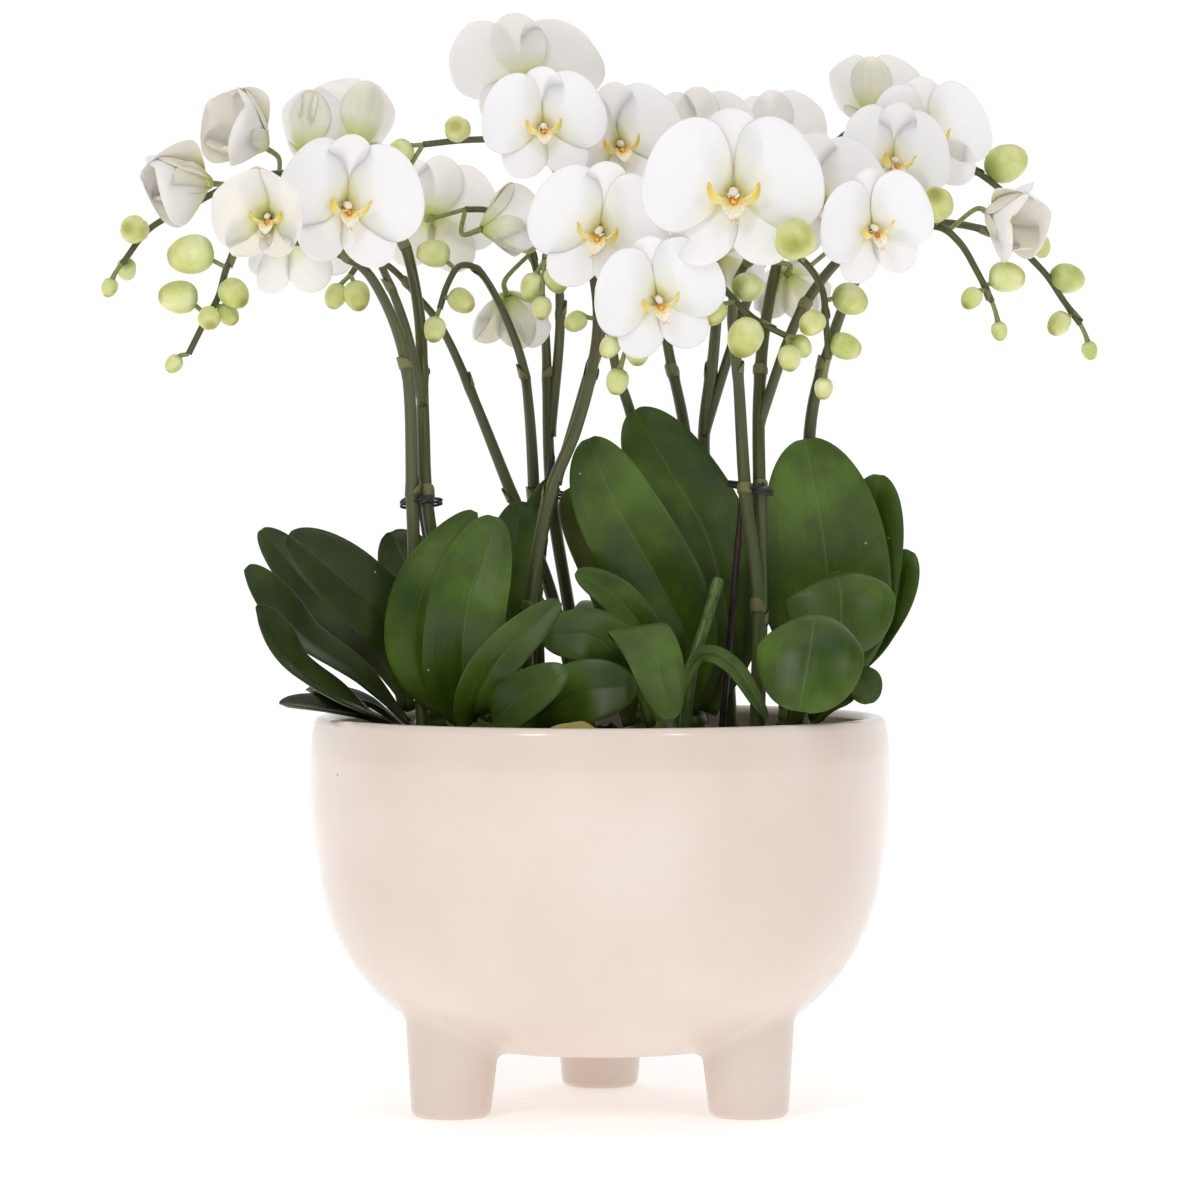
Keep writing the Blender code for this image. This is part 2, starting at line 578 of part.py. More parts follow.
def build():
    clear_scene()
    orchid = new_collection("orchid_in_a_bowl")
    helpers = new_collection("cutters")
    glaze = material("cream_glaze", (0.82, 0.74, 0.66), 0.12)
    bowl(glaze, orchid, helpers)
    bark = material("bark", (0.10, 0.05, 0.03), 0.9)
    bark_bed(bark, orchid)
    crown_green = material("crown_green", (0.10, 0.16, 0.04), 0.6)
    for name, (x, y) in CROWNS.items():
        crown(f"{name}_crown", x, y, crown_green, orchid)
    stalk_green = material("stalk_green", (0.16, 0.20, 0.06), 0.5)
    for name, branches in STALKS.items():
        stalk(name + "_stalk", branches, stalk_green, orchid)
    leaf_green = material("leaf_green", (0.05, 0.16, 0.04), 0.35)
    for number, (crown_name, start, rib, width, up, fold) in enumerate(LEAVES, 1):
        root = leaf_root(crown_name, *start)
        leaf(f"leaf_{number:02d}", root, rib, width, up, fold, leaf_green, orchid)
    petal_white = material("petal_white", (0.88, 0.88, 0.86), 0.5)
    for number, (_, middle, bearing, elevation, width, cup) in enumerate(FLOWERS, 1):
        facing = heading(bearing, elevation)
        flower(f"flower_{number:02d}", place(*middle), facing, width, cup, petal_white, orchid)
    stake_looks = {
        "black": material("black_plastic", (0.02, 0.02, 0.02), 0.5),
        "purple": material("purple_plastic", (0.12, 0.04, 0.06), 0.5),
    }
    for number, (foot, top, sort) in enumerate(STAKES, 1):
        stake(f"stake_{number}", foot, top, stake_looks[sort], orchid)
    wire = material("coated_wire", (0.03, 0.03, 0.03), 0.6)
    for number, (middle, radius) in enumerate(TIES, 1):
        tie(f"tie_{number}", middle, radius, wire, orchid)


build()
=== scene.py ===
import math
import random

import bmesh
import bpy
from mathutils import Matrix, Vector, noise


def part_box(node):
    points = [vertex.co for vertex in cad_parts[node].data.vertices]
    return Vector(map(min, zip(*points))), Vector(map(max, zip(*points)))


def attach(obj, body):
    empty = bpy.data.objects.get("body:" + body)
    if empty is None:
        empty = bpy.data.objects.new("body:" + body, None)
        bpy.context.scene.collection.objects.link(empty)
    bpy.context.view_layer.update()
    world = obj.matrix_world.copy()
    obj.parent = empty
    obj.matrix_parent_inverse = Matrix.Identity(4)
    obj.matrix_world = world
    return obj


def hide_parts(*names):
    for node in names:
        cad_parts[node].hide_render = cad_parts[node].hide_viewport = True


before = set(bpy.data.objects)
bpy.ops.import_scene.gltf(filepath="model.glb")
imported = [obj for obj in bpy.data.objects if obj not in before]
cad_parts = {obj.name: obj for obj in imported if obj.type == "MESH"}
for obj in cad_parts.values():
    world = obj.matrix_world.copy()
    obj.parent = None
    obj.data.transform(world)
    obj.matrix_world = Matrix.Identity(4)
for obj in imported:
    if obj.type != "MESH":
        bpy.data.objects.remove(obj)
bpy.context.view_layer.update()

MM = 0.001

# The bowl, as the frame has it
BOWL_LOW, BOWL_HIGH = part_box("bowl")
BOWL_RADIUS = (BOWL_HIGH[0] - BOWL_LOW[0]) / 2
RIM_TOP = BOWL_HIGH[2]
BARK_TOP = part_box("bark_bed")[1][2]
BOWL_WALL = 7 * MM
BOWL_CLEARANCE = 26 * MM
BELLY_BELOW_RIM = 18.5 * MM
RIM_LEAN = 2.4 * MM
SIDE_POWER = 2.6
DEPTH_POWER = 2.8
VIRTUAL_BOTTOM = 6 * MM
BOWL_SIDES = 144

FOOT_CIRCLE = 70 * MM
FOOT_TOP_RADIUS = 18.5 * MM
FOOT_FLOOR_RADIUS = 16.5 * MM
FOOT_EDGE = 3.4 * MM
FOOT_FILLET = 6 * MM
FOOT_BEARINGS = (-150, -30, 90)

CROWN_RADIUS = 9 * MM
CROWN_HEIGHT = 19 * MM
LEAF_THICKNESS = 1.9 * MM
STALK_GIRTH = 2.7 * MM
STALK_TIP = 1.3 * MM
STALK_JOINT_SPACING = 52 * MM
PEDICEL = 0.95 * MM
PEDICEL_RUN = 9 * MM
PETAL_THICKNESS = 0.8 * MM
STAKE_RADIUS = 1.6 * MM
TIE_WIRE = 0.62 * MM
TIE_RISE = 2.8          # how far a tie climbs in its two turns, in mm
TIE_SLANT = 1.6         # how far its front and back differ in height, in mm
STAKE_BEAD_SPACING = 14     # in mm
STAKE_BEAD_WIDTH = 1.1      # in mm
LEAF_WAVE = 0.05        # of the leaf's half width
MIDRIB_DEPTH = 0.4 * MM
MIDRIB_WIDTH = 0.06     # of the leaf's half width
BUD_GIRTH = 0.42        # a bud's greatest radius, of its length
BUD_SEAM = 0.10         # how deep its seams are, of its radius
JOINT_SWELLING = 0.16   # of the stalk's radius
JOINT_REACH = 2.0 * MM
BRACT_THICKNESS = 0.3 * MM
BUD_FLARE = 0.35        # how much a pedicel widens at a bud and at a bloom
BLOOM_FLARE = 0.45
CUT_STALK_RADIUS = 2.4 * MM
CUT_END_RADIUS = 1.9 * MM
LOBE_THICKNESS = 0.016  # of the bloom's width
TONGUE_THICKNESS = 0.018

# How much the studio floor glows by the bowl and away from it
NEAR_GLOW = 0.30
FAR_GLOW = 0.62

# Crowns, as x and y in mm
CROWNS = {
    "left": (-70, -4), "front_left": (-40, -12), "back": (-18, 42),
    "front": (20, -22), "centre": (38, 28), "right": (80, 0),
}

# Flower stalks: the main stalk, then any side branch, each as points in mm above the bark
STALKS = {
    "left_front": [
        [(-72, -23, 0), (-75, -20, 45), (-77, -16, 98), (-79, -26, 155), (-92, -34, 190),
         (-108, -40, 202), (-126, -44, 206), (-143, -48, 206), (-150, -50, 196), (-154, -50, 183),
         (-160, -50, 172), (-166, -50, 160)],
    ],
    "left_rear": [
        [(-56, 1, 0), (-63, -6, 50), (-71, -11, 98), (-73, -6, 136), (-75, 2, 179), (-84, 8, 214),
         (-103, 8, 230), (-128, 2, 236), (-150, 0, 232), (-172, -4, 221), (-186, -10, 212), (-196, -16, 198)],
        [(-73, -6, 140), (-80, -14, 172), (-89, -24, 196), (-98, -34, 210)],
    ],
    "middle_leaning": [
        [(-6, 31, 0), (-20, 30, 60), (-36, 27, 101), (-62, 20, 165), (-77, 14, 187), (-89, 8, 199),
         (-98, 0, 200), (-103, -4, 194)],
    ],
    "middle_left": [
        [(-25, 61, 0), (-27, 54, 59), (-28, 46, 105), (-30, 38, 140), (-33, 30, 160), (-41, 24, 181),
         (-50, 12, 196), (-58, 4, 198), (-63, -3, 190), (-66, -8, 180)],
    ],
    "middle_twin": [
        [(-3, 48, 0), (-14, 51, 60), (-21, 52, 108), (-23, 50, 169), (-26, 42, 194), (-32, 28, 211),
         (-45, 17, 221), (-56, 12, 222)],
        [(-21, 52, 128), (-17, 50, 173), (-18, 40, 198), (-21, 20, 205), (-23, 0, 200)],
    ],
    "centre_front": [
        [(-27, -19, 0), (-30, -19, 44), (-22, -16, 98), (-10, -15, 130), (-3, -18, 156), (-1, -19, 180),
         (-6, -14, 208), (-15, -10, 232), (-26, -14, 244), (-38, -22, 248), (-54, -26, 248), (-72, -28, 246)],
        [(-18, -16, 108), (-10, -7, 135), (-2, -6, 162), (8, -12, 192), (17, -22, 204), (22, -34, 202),
         (21, -43, 188), (14, -46, 172)],
    ],
    "centre_rear": [
        [(24, 41, 0), (24, 40, 60), (22, 40, 101), (13, 36, 137), (6, 30, 160), (4, 24, 190),
         (10, 18, 220), (20, 15, 246)],
    ],
    "back_tall": [
        [(44, 64, 0), (42, 62, 60), (37, 60, 124), (30, 55, 160), (25, 50, 185), (16, 46, 220),
         (0, 43, 246), (-18, 36, 263)],
    ],
    "right_twin_rear": [
        [(56, 45, 0), (52, 48, 60), (44, 48, 120), (48, 40, 164), (49, 26, 187), (45, 4, 204),
         (39, -22, 208), (40, -44, 197), (50, -54, 186), (62, -58, 174), (75, -58, 167)],
        [(44, 47, 128), (55, 43, 164), (67, 38, 198), (82, 34, 228), (98, 28, 250), (110, 22, 259)],
    ],
    "right_front": [
        [(64, -14, 0), (65, -12, 60), (60, -7, 104), (57, -10, 150), (54, -20, 178), (58, -34, 195),
         (68, -46, 202), (80, -52, 199), (89, -54, 187), (91, -54, 172), (92, -54, 158)],
    ],
    "right_twin": [
        [(66, 12, 0), (67, 6, 60), (66, 0, 104), (66, 6, 143), (69, 9, 176), (77, 14, 209),
         (95, 22, 234), (120, 27, 246), (141, 27, 248), (155, 24, 240), (169, 20, 229), (180, 18, 216)],
        [(66, 5, 132), (77, 0, 165), (86, -4, 184), (101, -10, 202), (122, -15, 212), (138, -20, 213),
         (147, -25, 206), (154, -27, 194), (160, -27, 182)],
    ],
    "right_far": [
        [(85, 21, 0), (88, 26, 60), (88, 27, 130), (97, 24, 168), (106, 21, 191), (117, 18, 208),
         (130, 16, 215), (148, 14, 216), (168, 10, 210), (183, 7, 197), (192, 5, 184), (199, 4, 174)],
    ],
}

# Buds: the stalk, the middle of the bud in mm, and its length in mm
BUDS = [
    ("left_front", (-165, -52, 200), 19), ("left_front", (-147, -56, 184), 14),
    ("left_front", (-170, -52, 183), 16), ("left_front", (-157, -58, 174), 11),
    ("left_front", (-172, -50, 156), 8), ("left_front", (-150, -50, 176), 10),
    ("left_rear", (-191, -18, 212), 14), ("left_rear", (-195, -8, 196), 10),
    ("left_rear", (-201, -19, 188), 8),
    ("middle_leaning", (-100, -9, 185), 13), ("middle_leaning", (-109, -6, 185), 11),
    ("middle_left", (-69, 1, 203), 14), ("middle_left", (-57, -9, 183), 12),
    ("middle_left", (-68, -14, 171), 11),
    ("middle_twin", (-31, 24, 210), 13), ("middle_twin", (-28, -2, 189), 12),
    ("middle_twin", (-18, -5, 192), 12), ("middle_twin", (-24, -10, 180), 10),
    ("centre_front", (-58, -33, 252), 13), ("centre_front", (-82, -30, 242), 13),
    ("centre_front", (-80, -30, 230), 11), ("centre_front", (-10, -24, 174), 10),
    ("centre_front", (15, -52, 161), 12), ("centre_front", (4, -45, 163), 10),
    ("centre_front", (7, -44, 149), 11),
    ("centre_rear", (28, 14, 256), 12),
    ("right_twin_rear", (31, -36, 203), 15), ("right_twin_rear", (46, -62, 176), 11),
    ("right_twin_rear", (60, -50, 187), 14), ("right_twin_rear", (58, -65, 166), 17),
    ("right_twin_rear", (76, -62, 158), 11), ("right_twin_rear", (81, -54, 163), 10),
    ("right_front", (77, -88, 204), 20), ("right_front", (101, -50, 182), 15),
    ("right_front", (85, -60, 172), 12), ("right_front", (99, -54, 163), 13),
    ("right_front", (90, -54, 146), 9),
    ("right_twin", (137, -27, 222), 17), ("right_twin", (166, -28, 192), 15),
    ("right_twin", (151, -33, 183), 10), ("right_twin", (163, -27, 170), 8),
    ("right_twin", (170, 24, 242), 19), ("right_twin", (184, 20, 207), 10),
    ("right_twin", (172, 14, 219), 13),
    ("right_far", (194, 8, 193), 15), ("right_far", (190, 2, 174), 11), ("right_far", (203, 4, 163), 8),
]

# Blooms: the stalk, middle in mm, bearing and elevation that it faces in degrees, width in mm, how far
# the petals close forward (0 flat, 1 shut), and how far it has turned about its own middle in degrees.
# The first sixteen stand for the frame's flowers; the others hang among them.
BLOOMS = [
    ("left_rear", (-161, -16, 231), -52, 2, 60, 0.88, 12),
    ("left_rear", (-139, -8, 247), -42, 26, 58, 0.70, -10),
    ("left_front", (-132, -74, 214), -10, -2, 52, 0.48, 0),
    ("left_rear", (-102, -58, 219), 20, 0, 60, 0.24, -4),
    ("middle_twin", (-70, 28, 219), 172, 6, 54, 0.20, 8),
    ("back_tall", (-31, 37, 279), 172, 44, 64, 0.12, -6),
    ("centre_front", (-23, -40, 252), 4, 6, 50, 0.16, 3),
    ("centre_rear", (8, -25, 246), 10, 4, 52, 0.14, 10),
    ("centre_front", (0, -58, 209), -10, -4, 57, 0.12, -8),
    ("centre_front", (23, -72, 181), 14, -8, 53, 0.16, 12),
    ("right_twin_rear", (53, -76, 223), 0, 3, 69, 0.06, 0),
    ("right_twin", (89, -36, 223), 12, 0, 55, 0.12, 6),
    ("right_twin", (120, -15, 240), 28, 4, 50, 0.16, -5),
    ("right_front", (109, -64, 210), 26, -8, 50, 0.22, 14),
    ("right_twin", (136, 6, 251), 14, 4, 52, 0.12, 4),
    ("right_twin", (160, -22, 218), 36, -14, 56, 0.72, 10),
    ("left_rear", (-122, 12, 246), 158, 34, 56, 0.55, 0),
    ("left_rear", (-101, 16, 249), 200, 36, 58, 0.48, 14),
    ("left_rear", (-128, 12, 208), 158, -25, 52, 0.25, 0),
    ("middle_twin", (-48, 12, 214), 110, 14, 50, 0.60, -8),
    ("middle_twin", (-39, 32, 186), 175, -46, 50, 0.52, 10),
    ("centre_rear", (41, 22, 248), 160, 10, 52, 0.20, 0),
    ("centre_front", (48, -26, 200), 168, -34, 46, 0.45, -12),
    ("right_twin_rear", (78, 12, 194), 170, -30, 46, 0.50, 6),
    ("right_twin_rear", (114, 34, 264), 165, 46, 50, 0.42, 0),
    ("right_twin_rear", (74, 30, 250), 176, 22, 48, 0.30, -8),
]

# Leaves: the crown, then where the leaf leaves it: the bearing in degrees from +X, the distance from the
# crown's side in mm and the height in mm. Then points along the midrib to the tip in mm, the width in mm,
# the way that the upper side faces, and how far the edges stand above the midrib, in half widths. The
# edges of a round spoon-like leaf stand below it.
# The first eighteen stand for the frame's leaves.
LEAVES = [
    ("left", (186, 1.0, 14), [(-85, -10, 46), (-103, -16, 66), (-128, -22, 87)], 30, (0, -0.85, 0.5), 0.28),
    ("left", (139, 1.6, 14), [(-96, 11, 42), (-119, 17, 62), (-142, 20, 89)], 24, (0, -0.7, 0.7), 0.28),
    ("left", (214, 1.8, 9), [(-97, -21, 27), (-122, -34, 46), (-144, -41, 74)], 27, (0, -0.5, 0.85), 0.28),
    ("left", (77, 4.3, 14), [(-70, 22, 42), (-78, 30, 66), (-88, 34, 88)], 30, (0.1, -0.8, 0.5), 0.28),
    ("left", (222, 5.9, 5), [(-97, -38, 16), (-122, -56, 33), (-138, -66, 59)], 24, (0, -0.5, 0.85), 0.28),
    ("front_left", (209, 1.3, 9), [(-55, -34, 21), (-54, -43, 56), (-43, -34, 95)], 33, (0, -1.0, 0.1), 0.24),
    ("front_left", (80, 3.2, 12), [(-38, 4, 40), (-37, 5, 70), (-33, 4, 101)], 26, (0.2, -1.0, 0.1), 0.28),
    ("front_left", (250, 2.7, 7), [(-52, -42, 12), (-43, -57, 34), (-16, -60, 61)], 19,
     (0.3, -0.9, 0.4), 0.28),
    ("front_left", (280, 2.2, 5), [(-44, -52, 8), (-34, -70, 20), (-13, -78, 34)], 22,
     (0.1, -0.9, 0.5), 0.10),
    ("front", (221, 1.6, 9), [(9, -36, 30), (-2, -43, 45), (-24, -48, 46)], 25, (0, -1.0, 0.3), 0.05),
    ("front", (275, 2.0, 9), [(14, -48, 40), (15, -68, 50), (22, -86, 38), (28, -93, 14)], 24,
     (0, -0.6, 0.8), 0.0),
    ("centre", (265, 2.0, 12), [(38, 6, 38), (24, 2, 68), (7, -2, 98), (-5, -4, 127)], 37,
     (-0.2, -1.0, 0.1), 0.2),
    ("centre", (311, 1.6, 12), [(54, 19, 40), (46, 19, 82), (30, 20, 112), (14, 22, 139)], 38,
     (-0.1, -1.0, 0.1), 0.2),
    ("back", (70, 2.7, 10), [(-2, 72, 38), (8, 92, 54), (14, 112, 50)], 36, (0, 0.2, 1.0), 0.28),
    ("back", (156, 0.9, 10), [(-48, 62, 36), (-68, 78, 52), (-88, 90, 50)], 34, (0, 0.2, 1.0), 0.28),
    ("right", (70, 2.7, 10), [(94, 15, 40), (94, 14, 78), (85, 9, 127)], 53, (0, -1.0, 0.1), 0.10),
    ("right", (301, 2.7, 13), [(92, -14, 44), (95, -22, 68), (98, -32, 64), (98, -38, 38)], 45,
     (0, -0.6, 0.8), -0.2),
    ("right", (260, 3.2, 6), [(83, -38, 32), (86, -62, 54), (84, -80, 44), (79, -88, 17)], 43,
     (0, -0.6, 0.8), -0.2),
    ("left", (232, 3.0, 5), [(-95, -24, 12), (-112, -30, 16), (-131, -33, 18)], 20, (0, -0.3, 0.95), 0.28),
    ("left", (200, 3.0, 7), [(-93, -12, 16), (-106, -16, 20), (-121, -18, 23)], 20, (0, -0.2, 0.95), 0.28),
    ("front_left", (215, 6.0, 8), [(-72, -32, 26), (-75, -34, 48), (-69, -34, 70), (-51, -28, 97)], 28,
     (-0.6, -0.75, 0.1), 0.28),
    ("back", (215, 12.0, 10), [(-38, 26, 44), (-32, 27, 80), (-20, 26, 111)], 16, (0.3, -1.0, 0.1), 0.28),
    ("front_left", (300, 4.0, 6), [(-24, -50, 14), (-6, -62, 24), (15, -66, 26)], 27,
     (0.1, -1.0, 0.25), 0.08),
    ("front", (60, 1.5, 14), [(22, -20, 40), (8, -26, 60), (-10, -28, 72)], 16, (-0.3, -0.8, 0.5), 0.28),
    ("centre", (170, 2.0, 10), [(18, 32, 42), (4, 31, 76), (-14, 30, 106)], 30, (0.1, 1.0, 0.2), 0.28),
    ("right", (40, 4.0, 10), [(106, 18, 44), (113, 21, 80), (117, 21, 112)], 30, (-0.3, -1.0, 0.1), 0.2),
    ("right", (60, 4.0, 10), [(104, 22, 34), (120, 22, 58), (130, 18, 80)], 24, (-0.3, -0.9, 0.3), 0.2),
    ("right", (310, 3.0, 8), [(98, -20, 20), (106, -26, 28), (110, -32, 18)], 18, (0, -0.6, 0.8), 0.0),
    ("front", (330, 2.0, 12), [(40, -24, 36), (54, -28, 33), (68, -40, 12)], 9, (0.2, -0.8, 0.5), 0.28),
]

# A yellowed leaf end that lies on the bark by the rim: points along it in mm
FALLEN_LEAF = [(-24, -96, 8), (-16, -99, 12), (-8, -99, 12), (0, -96, 8)]

# The old flower stalk that was cut off short: points in mm
CUT_STALK = [(34, -16, 0), (38, -15, 32), (44, -12, 52), (49, -10, 69)]

# Stakes: foot and top in mm, and which sort. Ties: the middle of the loop in mm and its radius in mm
STAKES = [
    ((-58, 12, 0), (-77, -8, 116), "black"),
    ((-31, 36, 0), (-20, 45, 122), "black"),
    ((50, 4, 0), (60, 6, 112), "purple"),
]
TIES = [((-74, -11, 100), 8.3), ((-23, 48, 104), 7.5), ((62, -1, 106), 9.0)]

# Stones and litter on the bark: x and y in mm, size in mm, how far it stands up
PEBBLES = [
    (38, -98, (15, 10, 8), "pale"), (75, -74, (9, 7, 5), "grey"), (66, -82, (8, 6, 5), "grey"),
    (84, -66, (7, 6, 4), "grey"), (58, -78, (6, 5, 4), "pale"), (30, -92, (7, 5, 4), "grey"),
]


# ---- Shapes -------------------------------------------------------------------------------------

def place(x, y, z):
    """A point in metres, from millimetres off the bowl's axis and above the bark."""
    return Vector((x * MM, y * MM, BARK_TOP + z * MM))


def heading(bearing, elevation):
    turn = math.radians(bearing)
    rise = math.radians(elevation)
    return Vector((math.sin(turn) * math.cos(rise), -math.cos(turn) * math.cos(rise), math.sin(rise)))


def smooth_step(low, high, value):
    share = min(max((value - low) / (high - low), 0), 1)
    return share * share * (3 - 2 * share)


def smooth_path(points, per_span):
    """Points along the smooth curve (Catmull-Rom) that passes through the given points."""
    ends = [2 * points[0] - points[1], *points, 2 * points[-1] - points[-2]]
    path = []
    for a, b, c, d in zip(ends, ends[1:], ends[2:], ends[3:]):
        for step in range(per_span):
            t = step / per_span
            path.append(
                0.5 * (2 * b + (c - a) * t + (2 * a - 5 * b + 4 * c - d) * t ** 2
                       + (3 * b - a - 3 * c + d) * t ** 3)
            )
    return path + [points[-1].copy()]


def point_at(path, share):
    spot = min(max(share, 0), 1) * (len(path) - 1)
    index = min(int(spot), len(path) - 2)
    return path[index].lerp(path[index + 1], spot - index)


class Shape:
    """Gathers the faces of one piece, the finish of each, and how far along and across it each corner is."""

    def __init__(self):
        self.points = []
        self.faces = []
        self.finishes = []
        self.spots = []

    def face(self, corners, spots, finish):
        self.faces.append(corners)
        self.spots.extend(spots)
        self.finishes.append(finish)

    def rings(self, rings, finish, ends=True):
        """A skin over rings of points, closed round and, with ends, closed at both ends."""
        start = len(self.points)
        count = len(rings[0])
        for ring in rings:
            self.points.extend(ring)
        last = len(rings) - 1
        for row in range(last):
            for side in range(count):
                after = (side + 1) % count
                corners = [start + row * count + side, start + row * count + after,
                           start + (row + 1) * count + after, start + (row + 1) * count + side]
                low, high = row / last, (row + 1) / last
                left, right = side / count, (side + 1) / count
                self.face(corners, [(low, left), (low, right), (high, right), (high, left)], finish)
        if not ends:
            return
        for row, turned in ((0, True), (last, False)):
            middle = sum(rings[row], Vector()) / count
            self.points.append(middle)
            hub = len(self.points) - 1
            for side in range(count):
                after = (side + 1) % count
                edge = [start + row * count + side, start + row * count + after]
                corners = [hub, *(reversed(edge) if turned else edge)]
                share = row / last
                self.face(corners, [(share, side / count)] * 3, finish)

    def tube(self, path, radii, sides, finish):
        """A round rod along a path."""
        self.rings([ring_round(at, side, up, radius, sides)
                    for (at, side, up), radius in zip(frames_along(path), radii)], finish)

    def blade(self, middle, thickness, upper, lower, rows=24, columns=12):
        """A thin closed blade with a rounded edge. middle(t, s) is a point of its middle sheet, t from
        0 at its foot to 1 at its tip and s from -1 to 1 across it."""
        start = len(self.points)
        steps_t = [1 - (1 - row / rows) ** 1.6 for row in range(rows + 1)]
        steps_s = [math.sin(math.pi * (column / columns - 0.5)) for column in range(columns + 1)]
        sheet = [[middle(t, s) for s in steps_s] for t in steps_t]
        width = columns + 1
        normal = Vector((0, 0, 1))
        for row, t in enumerate(steps_t):
            for column, s in enumerate(steps_s):
                along = sheet[min(row + 1, rows)][column] - sheet[max(row - 1, 0)][column]
                across = sheet[row][min(column + 1, columns)] - sheet[row][max(column - 1, 0)]
                square = across.cross(along)
                if square.length > 1e-12:
                    normal = square.normalized()
                end = 1 - smooth_step(0.93, 1.0, t) * 0.9
                half = 0.5 * thickness * end * math.sqrt(max(1 - s ** 4, 0))
                self.points.append(sheet[row][column] + normal * half)
                self.points.append(sheet[row][column] - normal * half)

        def corner(row, column, under):
            return start + 2 * (row * width + column) + (1 if under and 0 < column < columns else 0)

        for row in range(rows):
            for column in range(columns):
                spots = [(steps_t[row], steps_s[column]), (steps_t[row], steps_s[column + 1]),
                         (steps_t[row + 1], steps_s[column + 1]), (steps_t[row + 1], steps_s[column])]
                spots = [(t, 0.5 + 0.5 * s) for t, s in spots]
                places = [(row, column), (row, column + 1), (row + 1, column + 1), (row + 1, column)]
                top = [corner(*at, False) for at in places]
                under = [corner(*at, True) for at in places]
                self.face(top, spots, upper)
                self.face(under[::-1], spots[::-1], lower)
        for row, turned in ((0, False), (rows, True)):
            for column in range(columns):
                edge = [corner(row, column, False), corner(row, column, True),
                        corner(row, column + 1, True), corner(row, column + 1, False)]
                edge = list(dict.fromkeys(edge))
                self.face(edge[::-1] if turned else edge, [(steps_t[row], 0.5)] * len(edge), lower)


def frames_along(path):
    """For each point of a path, the point and two directions square to the path that don't twist."""
    along = (path[1] - path[0]).normalized()
    side = along.orthogonal().normalized()
    found = []
    for index, at in enumerate(path):
        before = path[max(index - 1, 0)]
        after = path[min(index + 1, len(path) - 1)]
        along = (after - before).normalized()
        side = (side - along * side.dot(along)).normalized()
        found.append((at, side, along.cross(side)))
    return found


def ring_round(at, side, up, radius, sides):
    return [at + radius * (side * math.cos(turn) + up * math.sin(turn))
            for turn in (2 * math.pi * step / sides for step in range(sides))]


def add_piece(name, shape, finishes, nodes=()):
    """Makes one piece of the plant from a shape. It stands for the given nodes of the frame."""
    mesh = bpy.data.meshes.new(name)
    mesh.from_pydata(shape.points, [], shape.faces)
    spots = mesh.uv_layers.new(name="along_and_across")
    for corner, spot in zip(spots.data, shape.spots):
        corner.uv = spot
    for finish in finishes:
        mesh.materials.append(finish)
    mesh.polygons.foreach_set("material_index", shape.finishes)
    used = set()
    for polygon in mesh.polygons:
        used.update(polygon.vertices)
    if len(used) < len(mesh.vertices):
        drop_loose_points(mesh)
    mesh.shade_smooth()
    mesh.update()
    piece = bpy.data.objects.new(name, mesh)
    bpy.context.scene.collection.objects.link(piece)
    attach(piece, "root")
    if nodes:
        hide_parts(*nodes)
    return piece


def drop_loose_points(mesh):
    bm = bmesh.new()
    bm.from_mesh(mesh)
    loose = [vert for vert in bm.verts if not vert.link_faces]
    bmesh.ops.delete(bm, geom=loose, context="VERTS")
    bm.to_mesh(mesh)
    bm.free()


# ---- Finishes -----------------------------------------------------------------------------------

def linear(colour):
    """Turns an sRGB hex value into the linear colour that a shader takes."""
    channels = [int(colour[index:index + 2], 16) / 255 for index in (1, 3, 5)]
    return (*(c / 12.92 if c <= 0.04045 else ((c + 0.055) / 1.055) ** 2.4 for c in channels), 1)


def add_node(tree, kind, inputs=(), stops=(), **settings):
    """Adds a node with its settings. inputs pairs a socket's name or place with a value, or with the
    socket that feeds it; stops are a colour ramp's places and colours."""
    made = tree.nodes.new("ShaderNode" + kind)
    for name, value in settings.items():
        setattr(made, name, value)
    for name, value in dict(inputs).items():
        if isinstance(value, bpy.types.NodeSocket):
            tree.links.new(value, made.inputs[name])
        elif isinstance(value, str):
            made.inputs[name].default_value = linear(value)
        else:
            made.inputs[name].default_value = value
    if stops:
        ramp = made.color_ramp
        while len(ramp.elements) < len(stops):
            ramp.elements.new(0.5)
        for element, (position, colour) in zip(ramp.elements, stops):
            element.position = position
            element.color = linear(colour)
    return made


def new_finish(name, **uniform):
    """A material whose shader has the given sockets set, with its nodes' tree."""
    finish = bpy.data.materials.new(name)
    finish.use_nodes = True
    tree = finish.node_tree
    shader = tree.nodes["Principled BSDF"]
    for socket, value in uniform.items():
        socket = socket.replace("_", " ")
        shader.inputs[socket].default_value = linear(value) if isinstance(value, str) else value
    return finish, tree, shader


def feed(shader, **sources):
    """Links the parts of a finish to its shader's sockets."""
    for socket, source in sources.items():
        shader.id_data.links.new(source, shader.inputs[socket.replace("_", " ")])


def places_on(tree):
    """Where a point is in space, and how far it is along and across its own piece."""
    where = add_node(tree, "TexCoord").outputs["Object"]
    spot = add_node(tree, "UVMap", uv_map="along_and_across").outputs["UV"]
    return where, spot, add_node(tree, "SeparateXYZ", {0: spot}).outputs


